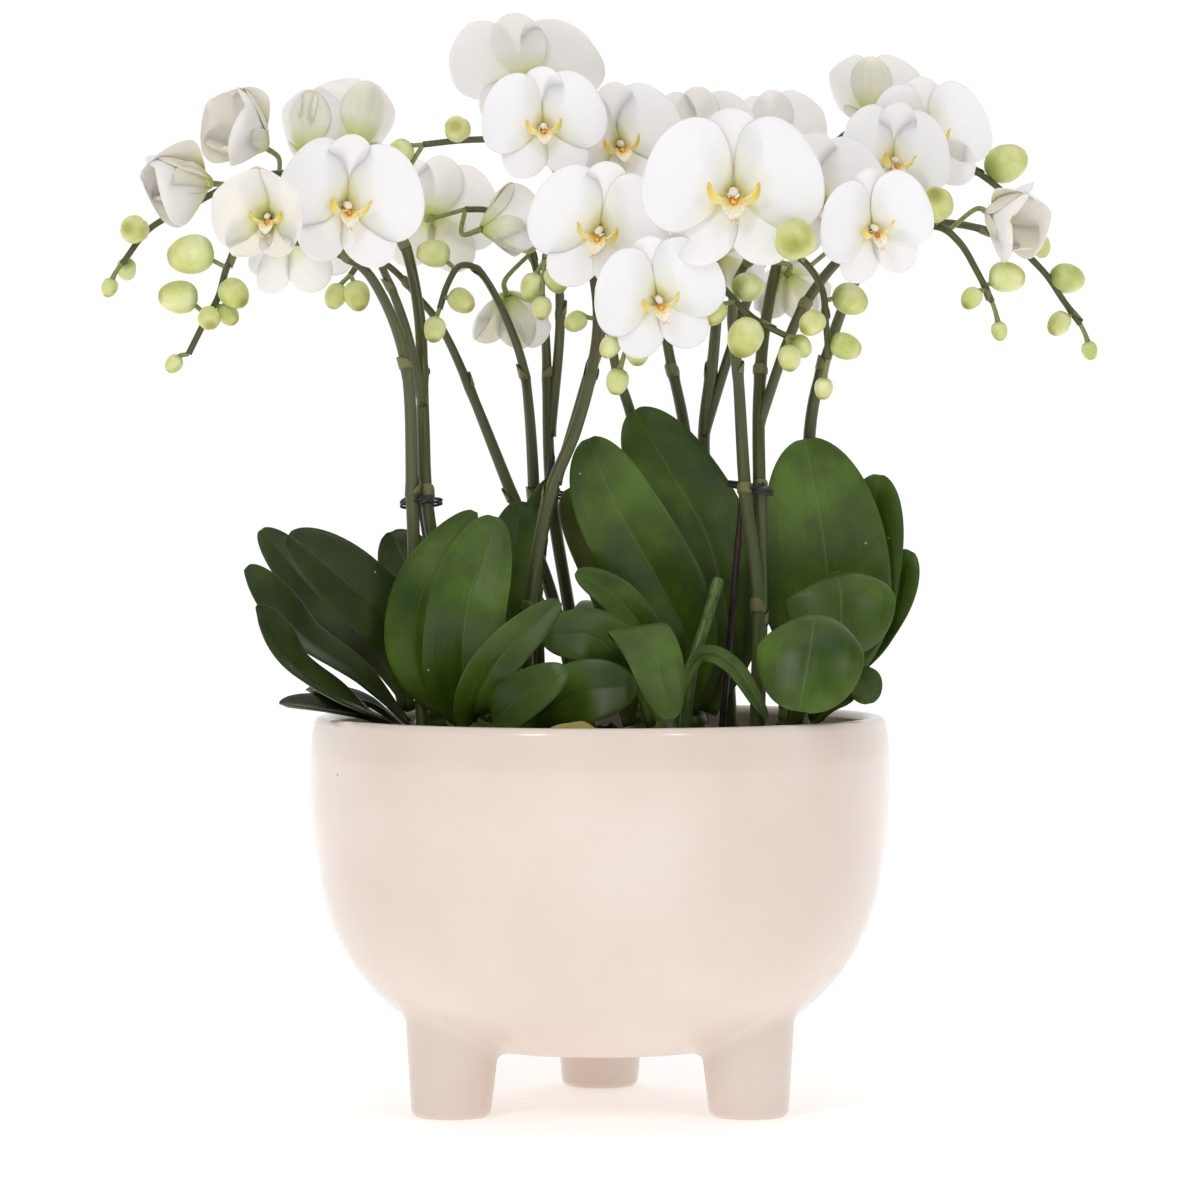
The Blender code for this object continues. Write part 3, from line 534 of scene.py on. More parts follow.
def glazed_stoneware():
    """Slip-cast stoneware under a thick cream glaze, dipped and fired: a deep even gloss, a colour that
    drifts a little where the glaze pooled, and faint ripples in what it reflects."""
    finish, tree, shader = new_finish("glazed_stoneware", Roughness=0.2, IOR=1.45, Coat_Weight=0.3,
                                      Coat_Roughness=0.03)
    where = add_node(tree, "TexCoord").outputs["Object"]
    pooled = add_node(tree, "TexNoise", {"Vector": where, "Scale": 14, "Detail": 2}).outputs["Fac"]
    tone = add_node(tree, "ValToRGB", {"Fac": pooled}, stops=[
        (0.30, "#E9D7CA"), (0.52, "#EDDDD1"), (0.75, "#F1E4DA")])
    pinholes = add_node(tree, "TexVoronoi", {"Vector": where, "Scale": 26}).outputs["Distance"]
    speck = add_node(tree, "Math", {0: pinholes, 1: 0.018}, operation="LESS_THAN").outputs[0]
    colour = add_node(tree, "Mix", {0: speck, 6: tone.outputs["Color"], 7: "#B59A82"}, data_type="RGBA")
    feed(shader, Base_Color=colour.outputs[2])
    ripple = add_node(tree, "TexNoise", {"Vector": where, "Scale": 55, "Detail": 1}).outputs["Fac"]
    bump = add_node(tree, "Bump", {"Height": ripple, "Strength": 0.05, "Distance": 1.5 * MM})
    feed(shader, Normal=bump.outputs["Normal"])
    return finish


def pine_bark(name, dark, middle, light):
    """Composted pine bark: torn dry flakes, dull and rough, dark where damp, with fine fibres."""
    finish, tree, shader = new_finish(name, IOR=1.45, Specular_IOR_Level=0.3)
    where = add_node(tree, "TexCoord").outputs["Object"]
    flake = add_node(tree, "TexVoronoi", {"Vector": where, "Scale": 110}).outputs["Color"]
    fibre = add_node(tree, "TexNoise", {"Vector": where, "Scale": 600, "Detail": 5}).outputs["Fac"]
    mixed = add_node(tree, "Mix", {0: 0.5, 6: flake, 7: fibre}, data_type="RGBA").outputs[2]
    tone = add_node(tree, "ValToRGB", {"Fac": mixed}, stops=[(0.25, dark), (0.55, middle), (0.80, light)])
    feed(shader, Base_Color=tone.outputs["Color"])
    rough = add_node(tree, "MapRange", {"Value": fibre, "To Min": 0.65, "To Max": 0.95}).outputs[0]
    feed(shader, Roughness=rough)
    bump = add_node(tree, "Bump", {"Height": fibre, "Strength": 0.7, "Distance": 0.8 * MM})
    feed(shader, Normal=bump.outputs["Normal"])
    return finish


def leaf_skin(name, deep, middle, pale, rib, sheen):
    """The waxy skin of a thick evergreen leaf: a soft gloss over mottled green, faint veins that run
    its length about 1.5 mm apart, a sunken midrib, and dried drops of hard water."""
    finish, tree, shader = new_finish(name, IOR=1.45, Specular_IOR_Level=0.35, Coat_Weight=sheen,
                                      Coat_Roughness=0.3,
                                      Subsurface_Weight=0.05, Subsurface_Scale=1.5 * MM,
                                      Subsurface_Radius=(0.4, 1.0, 0.2))
    where, spot, parts = places_on(tree)
    patch = add_node(tree, "TexNoise", {"Vector": where, "Scale": 34, "Detail": 4}).outputs["Fac"]
    stretch = add_node(tree, "Mapping", {"Vector": spot, "Scale": (3, 34, 1)}).outputs[0]
    vein = add_node(tree, "TexNoise", {"Vector": stretch, "Scale": 1, "Detail": 3}).outputs["Fac"]
    mixed = add_node(tree, "Mix", {0: 0.15, 2: patch, 3: vein}).outputs[0]
    tone = add_node(tree, "ValToRGB", {"Fac": mixed}, stops=[(0.32, deep), (0.50, middle), (0.68, pale)])
    off_rib = add_node(tree, "Math", {0: parts["Y"], 1: 0.5}, operation="SUBTRACT").outputs[0]
    off_rib = add_node(tree, "Math", {0: off_rib}, operation="ABSOLUTE").outputs[0]
    on_rib = add_node(tree, "MapRange", {"Value": off_rib, "From Min": 0.003, "From Max": 0.014,
                                         "To Min": 0.22, "To Max": 0}).outputs[0]
    ribbed = add_node(tree, "Mix", {0: on_rib, 6: tone.outputs["Color"], 7: rib}, data_type="RGBA").outputs[2]
    foot = add_node(tree, "MapRange", {"Value": parts["X"], "From Min": 0, "From Max": 0.3,
                                       "To Min": 0.45, "To Max": 0}).outputs[0]
    based = add_node(tree, "Mix", {0: foot, 6: ribbed, 7: rib}, data_type="RGBA").outputs[2]
    drops = add_node(tree, "TexVoronoi", {"Vector": where, "Scale": 150}).outputs["Distance"]
    drop = add_node(tree, "Math", {0: drops, 1: 0.07}, operation="LESS_THAN").outputs[0]
    few = add_node(tree, "TexNoise", {"Vector": where, "Scale": 22}).outputs["Fac"]
    few = add_node(tree, "Math", {0: few, 1: 0.58}, operation="GREATER_THAN").outputs[0]
    dried = add_node(tree, "Math", {0: drop, 1: few}, operation="MULTIPLY").outputs[0]
    spotted = add_node(tree, "Mix", {0: dried, 6: based, 7: "#9DAA86"}, data_type="RGBA").outputs[2]
    feed(shader, Base_Color=spotted)
    rough = add_node(tree, "MapRange", {"Value": patch, "From Min": 0.3, "From Max": 0.7,
                                        "To Min": 0.34, "To Max": 0.5}).outputs[0]
    feed(shader, Roughness=rough)
    skin = add_node(tree, "Mix", {0: 0.4, 2: patch, 3: vein}).outputs[0]
    bump = add_node(tree, "Bump", {"Height": skin, "Strength": 0.35, "Distance": 0.5 * MM})
    feed(shader, Normal=bump.outputs["Normal"])
    return finish


def petal_skin(name, throat_shade, foot, middle, edge, veins):
    """A petal: a white satin skin over a cloudy body that light enters, with a faintly tinted foot, a
    darker yellow-green throat that is painted shade in the bloom's hollow middle, and fine veins that fan out
    from it."""
    finish, tree, shader = new_finish(name, IOR=1.4, Roughness=0.52, Specular_IOR_Level=0.3,
                                      Subsurface_Weight=0.4, Subsurface_Scale=3 * MM,
                                      Subsurface_Radius=(1.0, 0.9, 0.8), Sheen_Weight=0.1)
    where, spot, parts = places_on(tree)
    drift = add_node(tree, "TexNoise", {"Vector": where, "Scale": 60, "Detail": 2}).outputs["Fac"]
    drift = add_node(tree, "MapRange", {"Value": drift, "To Min": -0.12, "To Max": 0.12}).outputs[0]
    reach = add_node(tree, "Math", {0: parts["X"], 1: drift}, operation="ADD").outputs[0]
    # The throat stop is painted shade deep in the bloom's middle; the foot stop is the petal's own faint
    # tint.
    tone = add_node(tree, "ValToRGB", {"Fac": reach}, stops=[
        (0.04, throat_shade), (0.16, foot), (0.42, middle), (0.94, middle), (1.0, edge)])
    stretch = add_node(tree, "Mapping", {"Vector": spot, "Scale": (1.2, 30, 1)}).outputs[0]
    vein = add_node(tree, "TexNoise", {"Vector": stretch, "Scale": 1, "Detail": 2}).outputs["Fac"]
    vein = add_node(tree, "MapRange", {"Value": vein, "From Min": 0.5, "From Max": 0.75,
                                       "To Min": 0, "To Max": veins}).outputs[0]
    veined = add_node(tree, "Mix", {0: vein, 6: tone.outputs["Color"], 7: foot}, data_type="RGBA").outputs[2]
    bump = add_node(tree, "Bump", {"Height": vein, "Strength": 0.25, "Distance": 0.4 * MM})
    feed(shader, Base_Color=veined, Normal=bump.outputs["Normal"])
    return finish


def lip_skin(name, foot, middle, tip, speckles, roughness=0.45):
    """The lip's waxy skin, with specks of the colour that guides insects in."""
    finish, tree, shader = new_finish(name, IOR=1.42, Roughness=roughness, Subsurface_Weight=0.15,
                                      Subsurface_Scale=2 * MM, Subsurface_Radius=(1.0, 0.8, 0.5))
    where, spot, parts = places_on(tree)
    tone = add_node(tree, "ValToRGB", {"Fac": parts["X"]}, stops=[(0.05, foot), (0.5, middle), (0.95, tip)])
    grains = add_node(tree, "TexNoise", {"Vector": where, "Scale": 900, "Detail": 2}).outputs["Fac"]
    grain = add_node(tree, "MapRange", {"Value": grains, "From Min": 0.52, "From Max": 0.60,
                                        "To Min": 0, "To Max": speckles}).outputs[0]
    specked = add_node(tree, "Mix", {0: grain, 6: tone.outputs["Color"], 7: "#B4441E"}, data_type="RGBA")
    bump = add_node(tree, "Bump", {"Height": grains, "Strength": 0.2, "Distance": 0.3 * MM})
    feed(shader, Base_Color=specked.outputs[2], Normal=bump.outputs["Normal"])
    return finish


def bud_skin():
    """A closed bud's thick waxy sepals: lime green, yellower where they bulge, darker towards its foot and
    its tip.
    """
    finish, tree, shader = new_finish("bud_skin", IOR=1.42, Roughness=0.42, Subsurface_Weight=0.2,
                                      Subsurface_Scale=2 * MM, Subsurface_Radius=(0.9, 1.0, 0.4))
    where, spot, parts = places_on(tree)
    patch = add_node(tree, "TexNoise", {"Vector": where, "Scale": 90, "Detail": 3}).outputs["Fac"]
    tone = add_node(tree, "ValToRGB", {"Fac": patch}, stops=[
        (0.30, "#BFC975"), (0.50, "#D8DE98"), (0.70, "#ECEDBE")])
    lengths = add_node(tree, "ValToRGB", {"Fac": parts["X"]}, stops=[
        (0.0, "#B4C07A"), (0.30, "#FFFFFF"), (0.8, "#FBF6E2"), (1.0, "#C6C48A")])
    shaded = add_node(tree, "Mix", {0: 1.0, 6: tone.outputs["Color"], 7: lengths.outputs["Color"]},
                      data_type="RGBA", blend_type="MULTIPLY").outputs[2]
    bump = add_node(tree, "Bump", {"Height": patch, "Strength": 0.2, "Distance": 0.5 * MM})
    feed(shader, Base_Color=shaded, Normal=bump.outputs["Normal"])
    return finish


def stalk_skin(name, low, high, blush):
    """A flower stalk's smooth waxy skin: deep green below, browner towards the light, finely streaked."""
    finish, tree, shader = new_finish(name, IOR=1.45, Roughness=0.38, Coat_Weight=0.15, Coat_Roughness=0.25)
    where = add_node(tree, "TexCoord").outputs["Object"]
    height = add_node(tree, "SeparateXYZ", {0: where}).outputs["Z"]
    rise = add_node(tree, "MapRange", {"Value": height, "From Min": BARK_TOP + 40 * MM,
                                       "From Max": BARK_TOP + 200 * MM}).outputs[0]
    tone = add_node(tree, "ValToRGB", {"Fac": rise}, stops=[(0, low), (1, high)])
    spot = add_node(tree, "UVMap", uv_map="along_and_across").outputs["UV"]
    stretch = add_node(tree, "Mapping", {"Vector": spot, "Scale": (14, 9, 1)}).outputs[0]
    streak = add_node(tree, "TexNoise", {"Vector": stretch, "Scale": 1, "Detail": 4}).outputs["Fac"]
    streak = add_node(tree, "MapRange", {"Value": streak, "From Min": 0.42, "From Max": 0.70}).outputs[0]
    colour = add_node(tree, "Mix", {0: streak, 6: tone.outputs["Color"], 7: blush},
                      data_type="RGBA").outputs[2]
    bump = add_node(tree, "Bump", {"Height": streak, "Strength": 0.2, "Distance": 0.3 * MM})
    feed(shader, Base_Color=colour, Normal=bump.outputs["Normal"])
    return finish


def moulded_plastic(name, colour, worn, roughness):
    """Extruded polypropylene stake or plastic-coated wire: an even dull colour with fine drawn lines."""
    finish, tree, shader = new_finish(name, IOR=1.49, Roughness=roughness)
    where = add_node(tree, "TexCoord").outputs["Object"]
    line = add_node(tree, "TexNoise", {"Vector": where, "Scale": 420, "Detail": 3}).outputs["Fac"]
    tone = add_node(tree, "ValToRGB", {"Fac": line}, stops=[(0.35, colour), (0.75, worn)])
    bump = add_node(tree, "Bump", {"Height": line, "Strength": 0.15, "Distance": 0.2 * MM})
    feed(shader, Base_Color=tone.outputs["Color"], Normal=bump.outputs["Normal"])
    return finish


def worn_stone(name, dark, light):
    """A tumbled pebble: smooth to the touch, dull, with grains of two tones."""
    finish, tree, shader = new_finish(name, IOR=1.5, Roughness=0.55)
    where = add_node(tree, "TexCoord").outputs["Object"]
    grain = add_node(tree, "TexNoise", {"Vector": where, "Scale": 260, "Detail": 5}).outputs["Fac"]
    tone = add_node(tree, "ValToRGB", {"Fac": grain}, stops=[(0.35, dark), (0.62, light)])
    bump = add_node(tree, "Bump", {"Height": grain, "Strength": 0.3, "Distance": 0.4 * MM})
    feed(shader, Base_Color=tone.outputs["Color"], Normal=bump.outputs["Normal"])
    return finish


# ---- The bowl -----------------------------------------------------------------------------------

def side_points(inset, floor, top, steps):
    """Radius and height up the bowl's side, from the edge of its floor to the top, set in by inset."""
    belly = RIM_TOP - BELLY_BELOW_RIM
    radius = BOWL_RADIUS - inset
    depth = belly - floor + VIRTUAL_BOTTOM
    flat = math.acos(((belly - floor) / depth) ** (DEPTH_POWER / 2))
    points = []
    for step in range(steps + 1):
        turn = flat + (math.pi / 2 - flat) * step / steps
        across = radius * math.sin(turn) ** (2 / SIDE_POWER)
        points.append((across, belly - depth * max(math.cos(turn), 0) ** (2 / DEPTH_POWER)))
    for step in range(1, 9):
        height = belly + (top - belly) * step / 8
        points.append((radius - RIM_LEAN * ((height - belly) / BELLY_BELOW_RIM) ** 2, height))
    return points


def outer_height(across):
    """The height of the bowl's outer side at a distance from its axis."""
    belly = RIM_TOP - BELLY_BELOW_RIM
    depth = belly - BOWL_CLEARANCE + VIRTUAL_BOTTOM
    share = min(across / BOWL_RADIUS, 1)
    return max(belly - depth * (1 - share ** SIDE_POWER) ** (1 / DEPTH_POWER), BOWL_CLEARANCE)


def turned_rings(profile, sides):
    return [[Vector((radius * math.cos(turn), radius * math.sin(turn), height))
             for turn in (2 * math.pi * step / sides for step in range(sides))]
            for radius, height in profile]


def foot_rings(bearing):
    """A tapered foot with a rounded floor edge, which flares out into the bowl's underside."""
    turn = math.radians(bearing)
    centre = Vector((FOOT_CIRCLE * math.cos(turn), FOOT_CIRCLE * math.sin(turn), 0))
    sides = 64
    columns = []
    for step in range(sides):
        around = 2 * math.pi * step / sides
        out = Vector((math.cos(around), math.sin(around), 0))
        wide = FOOT_TOP_RADIUS
        reach = wide + FOOT_FILLET
        under = outer_height((centre + out * wide).length)
        joint = outer_height((centre + out * reach).length)
        beyond = outer_height((centre + out * (reach + MM)).length)
        slope = (beyond - joint) / MM
        elbow = joint - slope * FOOT_FILLET
        start = min(elbow, under) - FOOT_FILLET * 0.8
        column = [(0.25 * FOOT_FLOOR_RADIUS, 0), (FOOT_FLOOR_RADIUS - FOOT_EDGE, 0)]
        for bend in range(1, 7):
            lift = math.pi / 2 * bend / 6
            column.append((FOOT_FLOOR_RADIUS - FOOT_EDGE * (1 - math.sin(lift)),
                           FOOT_EDGE * (1 - math.cos(lift))))
        for share in (0.35, 0.7, 1.0):
            column.append((FOOT_FLOOR_RADIUS + (wide - FOOT_FLOOR_RADIUS) * share,
                           FOOT_EDGE + (start - FOOT_EDGE) * share))
        for part in range(1, 9):
            t = part / 8
            column.append((
                (1 - t) ** 2 * wide + 2 * t * (1 - t) * wide + t * t * reach,
                (1 - t) ** 2 * start + 2 * t * (1 - t) * elbow + t * t * (joint + 0.02 * MM),
            ))
        column.append((reach + 0.5 * MM, joint + slope * 0.5 * MM + 0.5 * MM))
        column.append((wide, joint + 4 * MM))
        columns.append([centre + out * radius + Vector((0, 0, height)) for radius, height in column])
    return [[column[row] for column in columns] for row in range(len(columns[0]))]


def bowl(glaze):
    """The cast body, hollow, with a rounded lip, and its three feet."""
    lip = BOWL_WALL / 2
    outer = [(0.3 * BOWL_RADIUS, BOWL_CLEARANCE)] + side_points(0, BOWL_CLEARANCE, RIM_TOP - lip, 44)
    middle = outer[-1][0] - lip
    rounding = [(middle + lip * math.cos(turn), RIM_TOP - lip + lip * math.sin(turn))
                for turn in (math.pi * step / 14 for step in range(1, 14))]
    inner = side_points(BOWL_WALL, BOWL_CLEARANCE + BOWL_WALL, RIM_TOP - lip, 30)
    profile = outer + rounding + inner[::-1] + [(0.3 * BOWL_RADIUS, BOWL_CLEARANCE + BOWL_WALL)]
    shape = Shape()
    shape.rings(turned_rings(profile, BOWL_SIDES), 0)
    for bearing in FOOT_BEARINGS:
        shape.rings(foot_rings(bearing), 0)
    return add_piece("glazed_bowl", shape, [glaze], ["bowl"])


# ---- The bark -----------------------------------------------------------------------------------

def bark(finish):
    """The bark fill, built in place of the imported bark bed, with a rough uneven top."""
    inner = side_points(BOWL_WALL + 0.3 * MM, BOWL_CLEARANCE + BOWL_WALL + 0.3 * MM, BARK_TOP, 14)
    edge = max(radius for radius, height in inner if height < BARK_TOP)
    shape = Shape()
    sides = 160
    top = []
    for share in [0.02 + 0.98 * step / 46 for step in range(47)]:
        ring = []
        for step in range(sides):
            turn = 2 * math.pi * step / sides
            at = Vector((edge * share * math.cos(turn), edge * share * math.sin(turn), 0))
            lump = noise.fractal(at * 130, 0.6, 2.2, 4) * 3.0 * MM
            at.z = BARK_TOP - 3.4 * MM + lump
            ring.append(at)
        top.append(ring)
    low = [(radius, height) for radius, height in inner if height < BARK_TOP - 7 * MM]
    rings = turned_rings(low, sides)
    shape.rings(rings + top[::-1], 0)
    return add_piece("bark_fill", shape, [finish], ["bark_bed"])


def chip(shape, at, size, tilt, draw, finish):
    """One torn flake of bark, a slab with five to seven broken corners."""
    corners = draw.randint(5, 7)
    outline = [(math.cos(turn) * draw.uniform(0.7, 1.1), math.sin(turn) * draw.uniform(0.6, 1.1))
               for turn in (2 * math.pi * step / corners for step in range(corners))]
    rings = []
    for level, spread in ((-1.0, 0.72), (-0.55, 0.98), (0.5, 1.0), (1.0, 0.78)):
        ring = []
        for x, y in outline:
            rough = draw.uniform(0.9, 1.08)
            local = Vector((x * size[0] * spread * rough, y * size[1] * spread * rough,
                            level * size[2] * draw.uniform(0.8, 1.15)))
            ring.append(at + tilt @ (local * 0.5 * MM))
        rings.append(ring)
    shape.rings(rings, finish)


def bark_chips(finish, pale):
    """Loose flakes over the fill. They stay clear of the rim and of the stems."""
    draw = random.Random(7)
    taken = [Vector((x, y, 0)) for x, y in CROWNS.values()]
    coarse = Shape()
    dry = Shape()
    placed = 0
    while placed < 420:
        radius = 101 * math.sqrt(draw.random())
        turn = draw.uniform(0, 2 * math.pi)
        x, y = radius * math.cos(turn), radius * math.sin(turn)
        length = draw.uniform(6, 15)
        if any((Vector((x, y, 0)) - crown).length < 8 for crown in taken):
            continue
        size = (length, length * draw.uniform(0.4, 0.75), draw.uniform(2.2, 4.5))
        tilt = Matrix.Rotation(draw.uniform(0, 2 * math.pi), 3, "Z") @ Matrix.Rotation(
            draw.gauss(0, 0.28), 3, "X") @ Matrix.Rotation(draw.gauss(0, 0.28), 3, "Y")
        at = place(x, y, draw.uniform(-2.5, 2.2))
        target = dry if placed % 9 == 0 else coarse
        chip(target, at, size, tilt, draw, 0)
        placed += 1
    add_piece("bark_chips", coarse, [finish])
    add_piece("dry_bark_chips", dry, [pale])


def pebbles(looks):
    draw = random.Random(3)
    for number, (x, y, size, sort) in enumerate(PEBBLES, 1):
        shape = Shape()
        rings = []
        for level in range(1, 12):
            lift = math.pi * level / 12
            ring = []
            for step in range(20):
                turn = 2 * math.pi * step / 20
                out = Vector((math.sin(lift) * math.cos(turn), math.sin(lift) * math.sin(turn),
                              -math.cos(lift)))
                bulge = 1 + 0.16 * noise.noise(out * 1.3 + Vector((number, 0, 0)))
                ring.append(Vector((out.x * size[0], out.y * size[1], out.z * size[2])) * 0.5 * bulge * MM)
            rings.append(ring)
        spin = Matrix.Rotation(draw.uniform(0, math.pi), 3, "Z")
        middle = place(x, y, size[2] * 0.5)
        shape.rings([[middle + spin @ at for at in ring] for ring in rings], 0)
        add_piece(f"pebble_{number}", shape, [looks[sort]])


# ---- The plants ---------------------------------------------------------------------------------

def crown(name, x, y, finish):
    """The short stem, wrapped in the sheaths of its leaves, each a ridge that rises round it."""
    shape = Shape()
    rings = []
    rows = 26
    for row in range(rows + 1):
        t = row / rows
        radius = CROWN_RADIUS * (1.0 - 0.42 * t) * (1 + 0.07 * abs(math.sin(5 * math.pi * t)))
        if t > 0.92:
            radius *= 0.8
        ring = []
        for step in range(28):
            turn = 2 * math.pi * step / 28
            flat = 1 + 0.08 * math.cos(2 * turn + 1.2 * math.floor(5 * t))
            ring.append(place(x, y, -2) + Vector((
                radius * flat * math.cos(turn), radius * flat * math.sin(turn),
                (CROWN_HEIGHT + 2 * MM) * t)))
        rings.append(ring)
    shape.rings(rings, 0)
    return add_piece(f"{name}_leaf_base", shape, [finish], [f"{name}_crown"])


def leaf_half_width(t, is_spoon):
    """The blade's half width at t along it: a narrow channelled base and a blunt rounded tip. A spoon
    stays narrow for longer and ends in a round blade."""
    if is_spoon:
        end = max(t - 0.78, 0) / 0.22
        return (0.3 + 0.7 * smooth_step(0.45, 0.78, t)) * math.sqrt(max(1 - end ** 2.2, 0))
    rise = min(t / 0.5, 1)
    neck = 0.22 + 0.78 * rise * rise * (3 - 2 * rise)
    end = max(t - 0.55, 0) / 0.45
    return neck * math.sqrt(max(1 - end ** 2.6, 0))


def leaf_root(crown_name, bearing, off_crown, height):
    """Where a leaf leaves its crown."""
    x, y = CROWNS[crown_name]
    turn = math.radians(bearing)
    out = CROWN_RADIUS + off_crown * MM
    return place(x, y, height) + out * Vector((math.cos(turn), math.sin(turn), 0))


def leaf(name, points, width, up, fold, finishes, wave_at, thickness=LEAF_THICKNESS, nodes=()):
    """A thick strap-like leaf, folded along a sunken midrib, with a slow wave along its edges."""
    path = smooth_path(points, 12)
    upper = Vector(up)
    phase = 1.7 * wave_at
    half_width = width * MM / 2

    def middle(t, s):
        t = t * 0.996
        at = point_at(path, t)
        along = (point_at(path, t + 0.02) - point_at(path, t - 0.02)).normalized()
        across = along.cross(upper).normalized()
        normal = across.cross(along)
        half = leaf_half_width(t, fold < 0) * half_width
        raised = half * fold * (s * s if fold < 0 else math.sqrt(s * s + 0.02) - 0.14)
        wave = LEAF_WAVE * half_width * math.sin(7 * t + phase + (1.5 if s > 0 else 0)) * s * s * t
        groove = -MIDRIB_DEPTH * math.exp(-(s / MIDRIB_WIDTH) ** 2) * (1 - t ** 4)
        return at + across * half * s + normal * (raised + wave + groove)

    shape = Shape()
    shape.blade(middle, thickness, 0, 1, rows=40, columns=26)
    return add_piece(name, shape, finishes, nodes)


def cut_stalk(looks):
    """What is left of an old flower stalk, with a swollen pale end where it was cut."""
    shape = Shape()
    path = smooth_path([place(*point) for point in CUT_STALK], 10)
    last = len(path) - 1
    radii = [CUT_STALK_RADIUS * (1 + 0.10 * math.exp(-((step / last - 0.93) / 0.05) ** 2))
             for step in range(last + 1)]
    radii[-1] = CUT_END_RADIUS
    shape.tube(path, radii, 16, 0)
    add_piece("cut_flower_stalk", shape, looks)


def nearest_on(paths, target):
    return min((point for path in paths for point in path), key=lambda point: (point - target).length)


def bud(shape, middle, axis, length, draw):
    """A closed bud: three sepals that meet in shallow seams, wide near its foot and blunt at its tip."""
    side = axis.orthogonal().normalized()
    up = axis.cross(side)
    rows = 16
    around = 24
    spin = draw.uniform(0, 2 * math.pi)
    rings = []
    for row in range(1, rows):
        t = row / rows
        level = -math.cos(math.pi * t)
        full = BUD_GIRTH * length * math.sin(math.pi * t) ** 0.85 * (1 - 0.12 * level)
        ring = []
        for step in range(around):
            turn = 2 * math.pi * step / around
            seam = abs(math.cos(1.5 * turn)) ** 18
            radius = full * (1 - BUD_SEAM * seam * math.sin(math.pi * t) ** 0.5)
            ring.append(middle + axis * level * 0.5 * length
                        + radius * (side * math.cos(turn + spin) + up * math.sin(turn + spin)))
        rings.append(ring)
    shape.rings(rings, 0)


def stalk_radius(at_length, whole, foot, tip):
    """The stalk's radius at a distance along it, with a swelling at each joint."""
    share = at_length / whole
    plain = foot + (tip - foot) * smooth_step(0.3, 1.0, share)
    off = abs(at_length / STALK_JOINT_SPACING - round(at_length / STALK_JOINT_SPACING)) * STALK_JOINT_SPACING
    return plain * (1 + JOINT_SWELLING * math.exp(-(off / JOINT_REACH) ** 2))


def bract(shape, at, along, radius, draw):
    """A small papery sheath that clasps the stalk at a joint."""
    side = along.orthogonal().normalized()
    side = Matrix.Rotation(draw.uniform(0, 2 * math.pi), 3, along) @ side
    up = along.cross(side)
    length = draw.uniform(4, 6.5) * MM

    def middle(t, s):
        turn = s * 1.9 * (1 - 0.75 * t * t)
        out = radius * 1.08 + 0.4 * MM * t
        return at + along * (length * t) + out * (side * math.cos(turn) + up * math.sin(turn))

    shape.blade(middle, BRACT_THICKNESS, 1, 1, rows=6, columns=8)


def pedicel_radii(path, flare, power):
    """The radii of a flower's own thin stem, which widens towards what hangs on it."""
    last = len(path) - 1
    return [PEDICEL * (1 + flare * (step / last) ** power) for step in range(last + 1)]


def stalk(name, branches, looks, draw):
    """A jointed flower stalk with its branch, and a thin pedicel to each bloom and bud."""
    shape = Shape()
    paths = [smooth_path([place(*point) for point in branch], 10) for branch in branches]
    for number, path in enumerate(paths):
        foot = STALK_GIRTH if number == 0 else 0.8 * STALK_GIRTH
        lengths = [0]
        for before, after in zip(path, path[1:]):
            lengths.append(lengths[-1] + (after - before).length)
        radii = [stalk_radius(length, lengths[-1], foot, STALK_TIP) for length in lengths]
        shape.tube(path, radii, 14, 0)
        for joint in range(1, int(lengths[-1] / STALK_JOINT_SPACING) + 1):
            index = min(range(len(path)), key=lambda i: abs(lengths[i] - joint * STALK_JOINT_SPACING))
            if 0 < index < len(path) - 2:
                bract(shape, path[index], (path[index + 1] - path[index]).normalized(), radii[index], draw)
    buds = Shape()
    for owner, at, length in BUDS:
        if owner != name:
            continue
        middle = place(*at)
        root = nearest_on(paths, middle)
        along = (middle - root).normalized()
        hang = (along + Vector((0, 0, -0.5))).normalized()
        bud(buds, middle, hang, length * MM, draw)
        bend = root + along * 0.5 * (middle - root).length + Vector((0, 0, 1.5 * MM))
        path = smooth_path([root, bend, middle - hang * 0.46 * length * MM], 6)
        shape.tube(path, pedicel_radii(path, BUD_FLARE, 3), 10, 2)
    for owner, at, bearing, elevation, *_ in BLOOMS:
        if owner != name:
            continue
        facing = heading(bearing, elevation)
        end = place(*at) - facing * 1.2 * MM
        bend = end - facing * PEDICEL_RUN
        root = nearest_on(paths, bend)
        path = smooth_path([root, bend, end], 8)
        shape.tube(path, pedicel_radii(path, BLOOM_FLARE, 2), 10, 2)
    add_piece(f"{name}_flower_stalk", shape, looks["stalk"], [f"{name}_stalk"])
    if buds.faces:
        add_piece(f"{name}_buds", buds, [looks["bud"]])


# Sepals and petals of one bloom, in shares of its width: the way each points in degrees up from its
# side, its length, its width, how far behind the bloom's middle it starts, and whether it is a petal
TEPALS = [
    (90, 0.47, 0.38, 0.030, False),
    (-52, 0.45, 0.38, 0.026, False),
    (232, 0.45, 0.38, 0.026, False),
    (24, 0.50, 0.70, 0.006, True),
    (156, 0.50, 0.70, 0.000, True),
]


def tepal_half_width(t, is_petal):
    """Half a sepal's or petal's width at t along it, as a share of its greatest."""
    if is_petal:
        widest, neck, fullness, blunt = 0.50, 0.12, 0.72, 2.3
    else:
        widest, neck, fullness, blunt = 0.52, 0.34, 1.0, 2.0
    rise = min(t / widest, 1)
    swell = neck + (1 - neck) * math.sin(rise * math.pi / 2) ** fullness
    end = max(t - widest, 0) / (1 - widest)
    return swell * math.sqrt(max(1 - end ** blunt, 0))


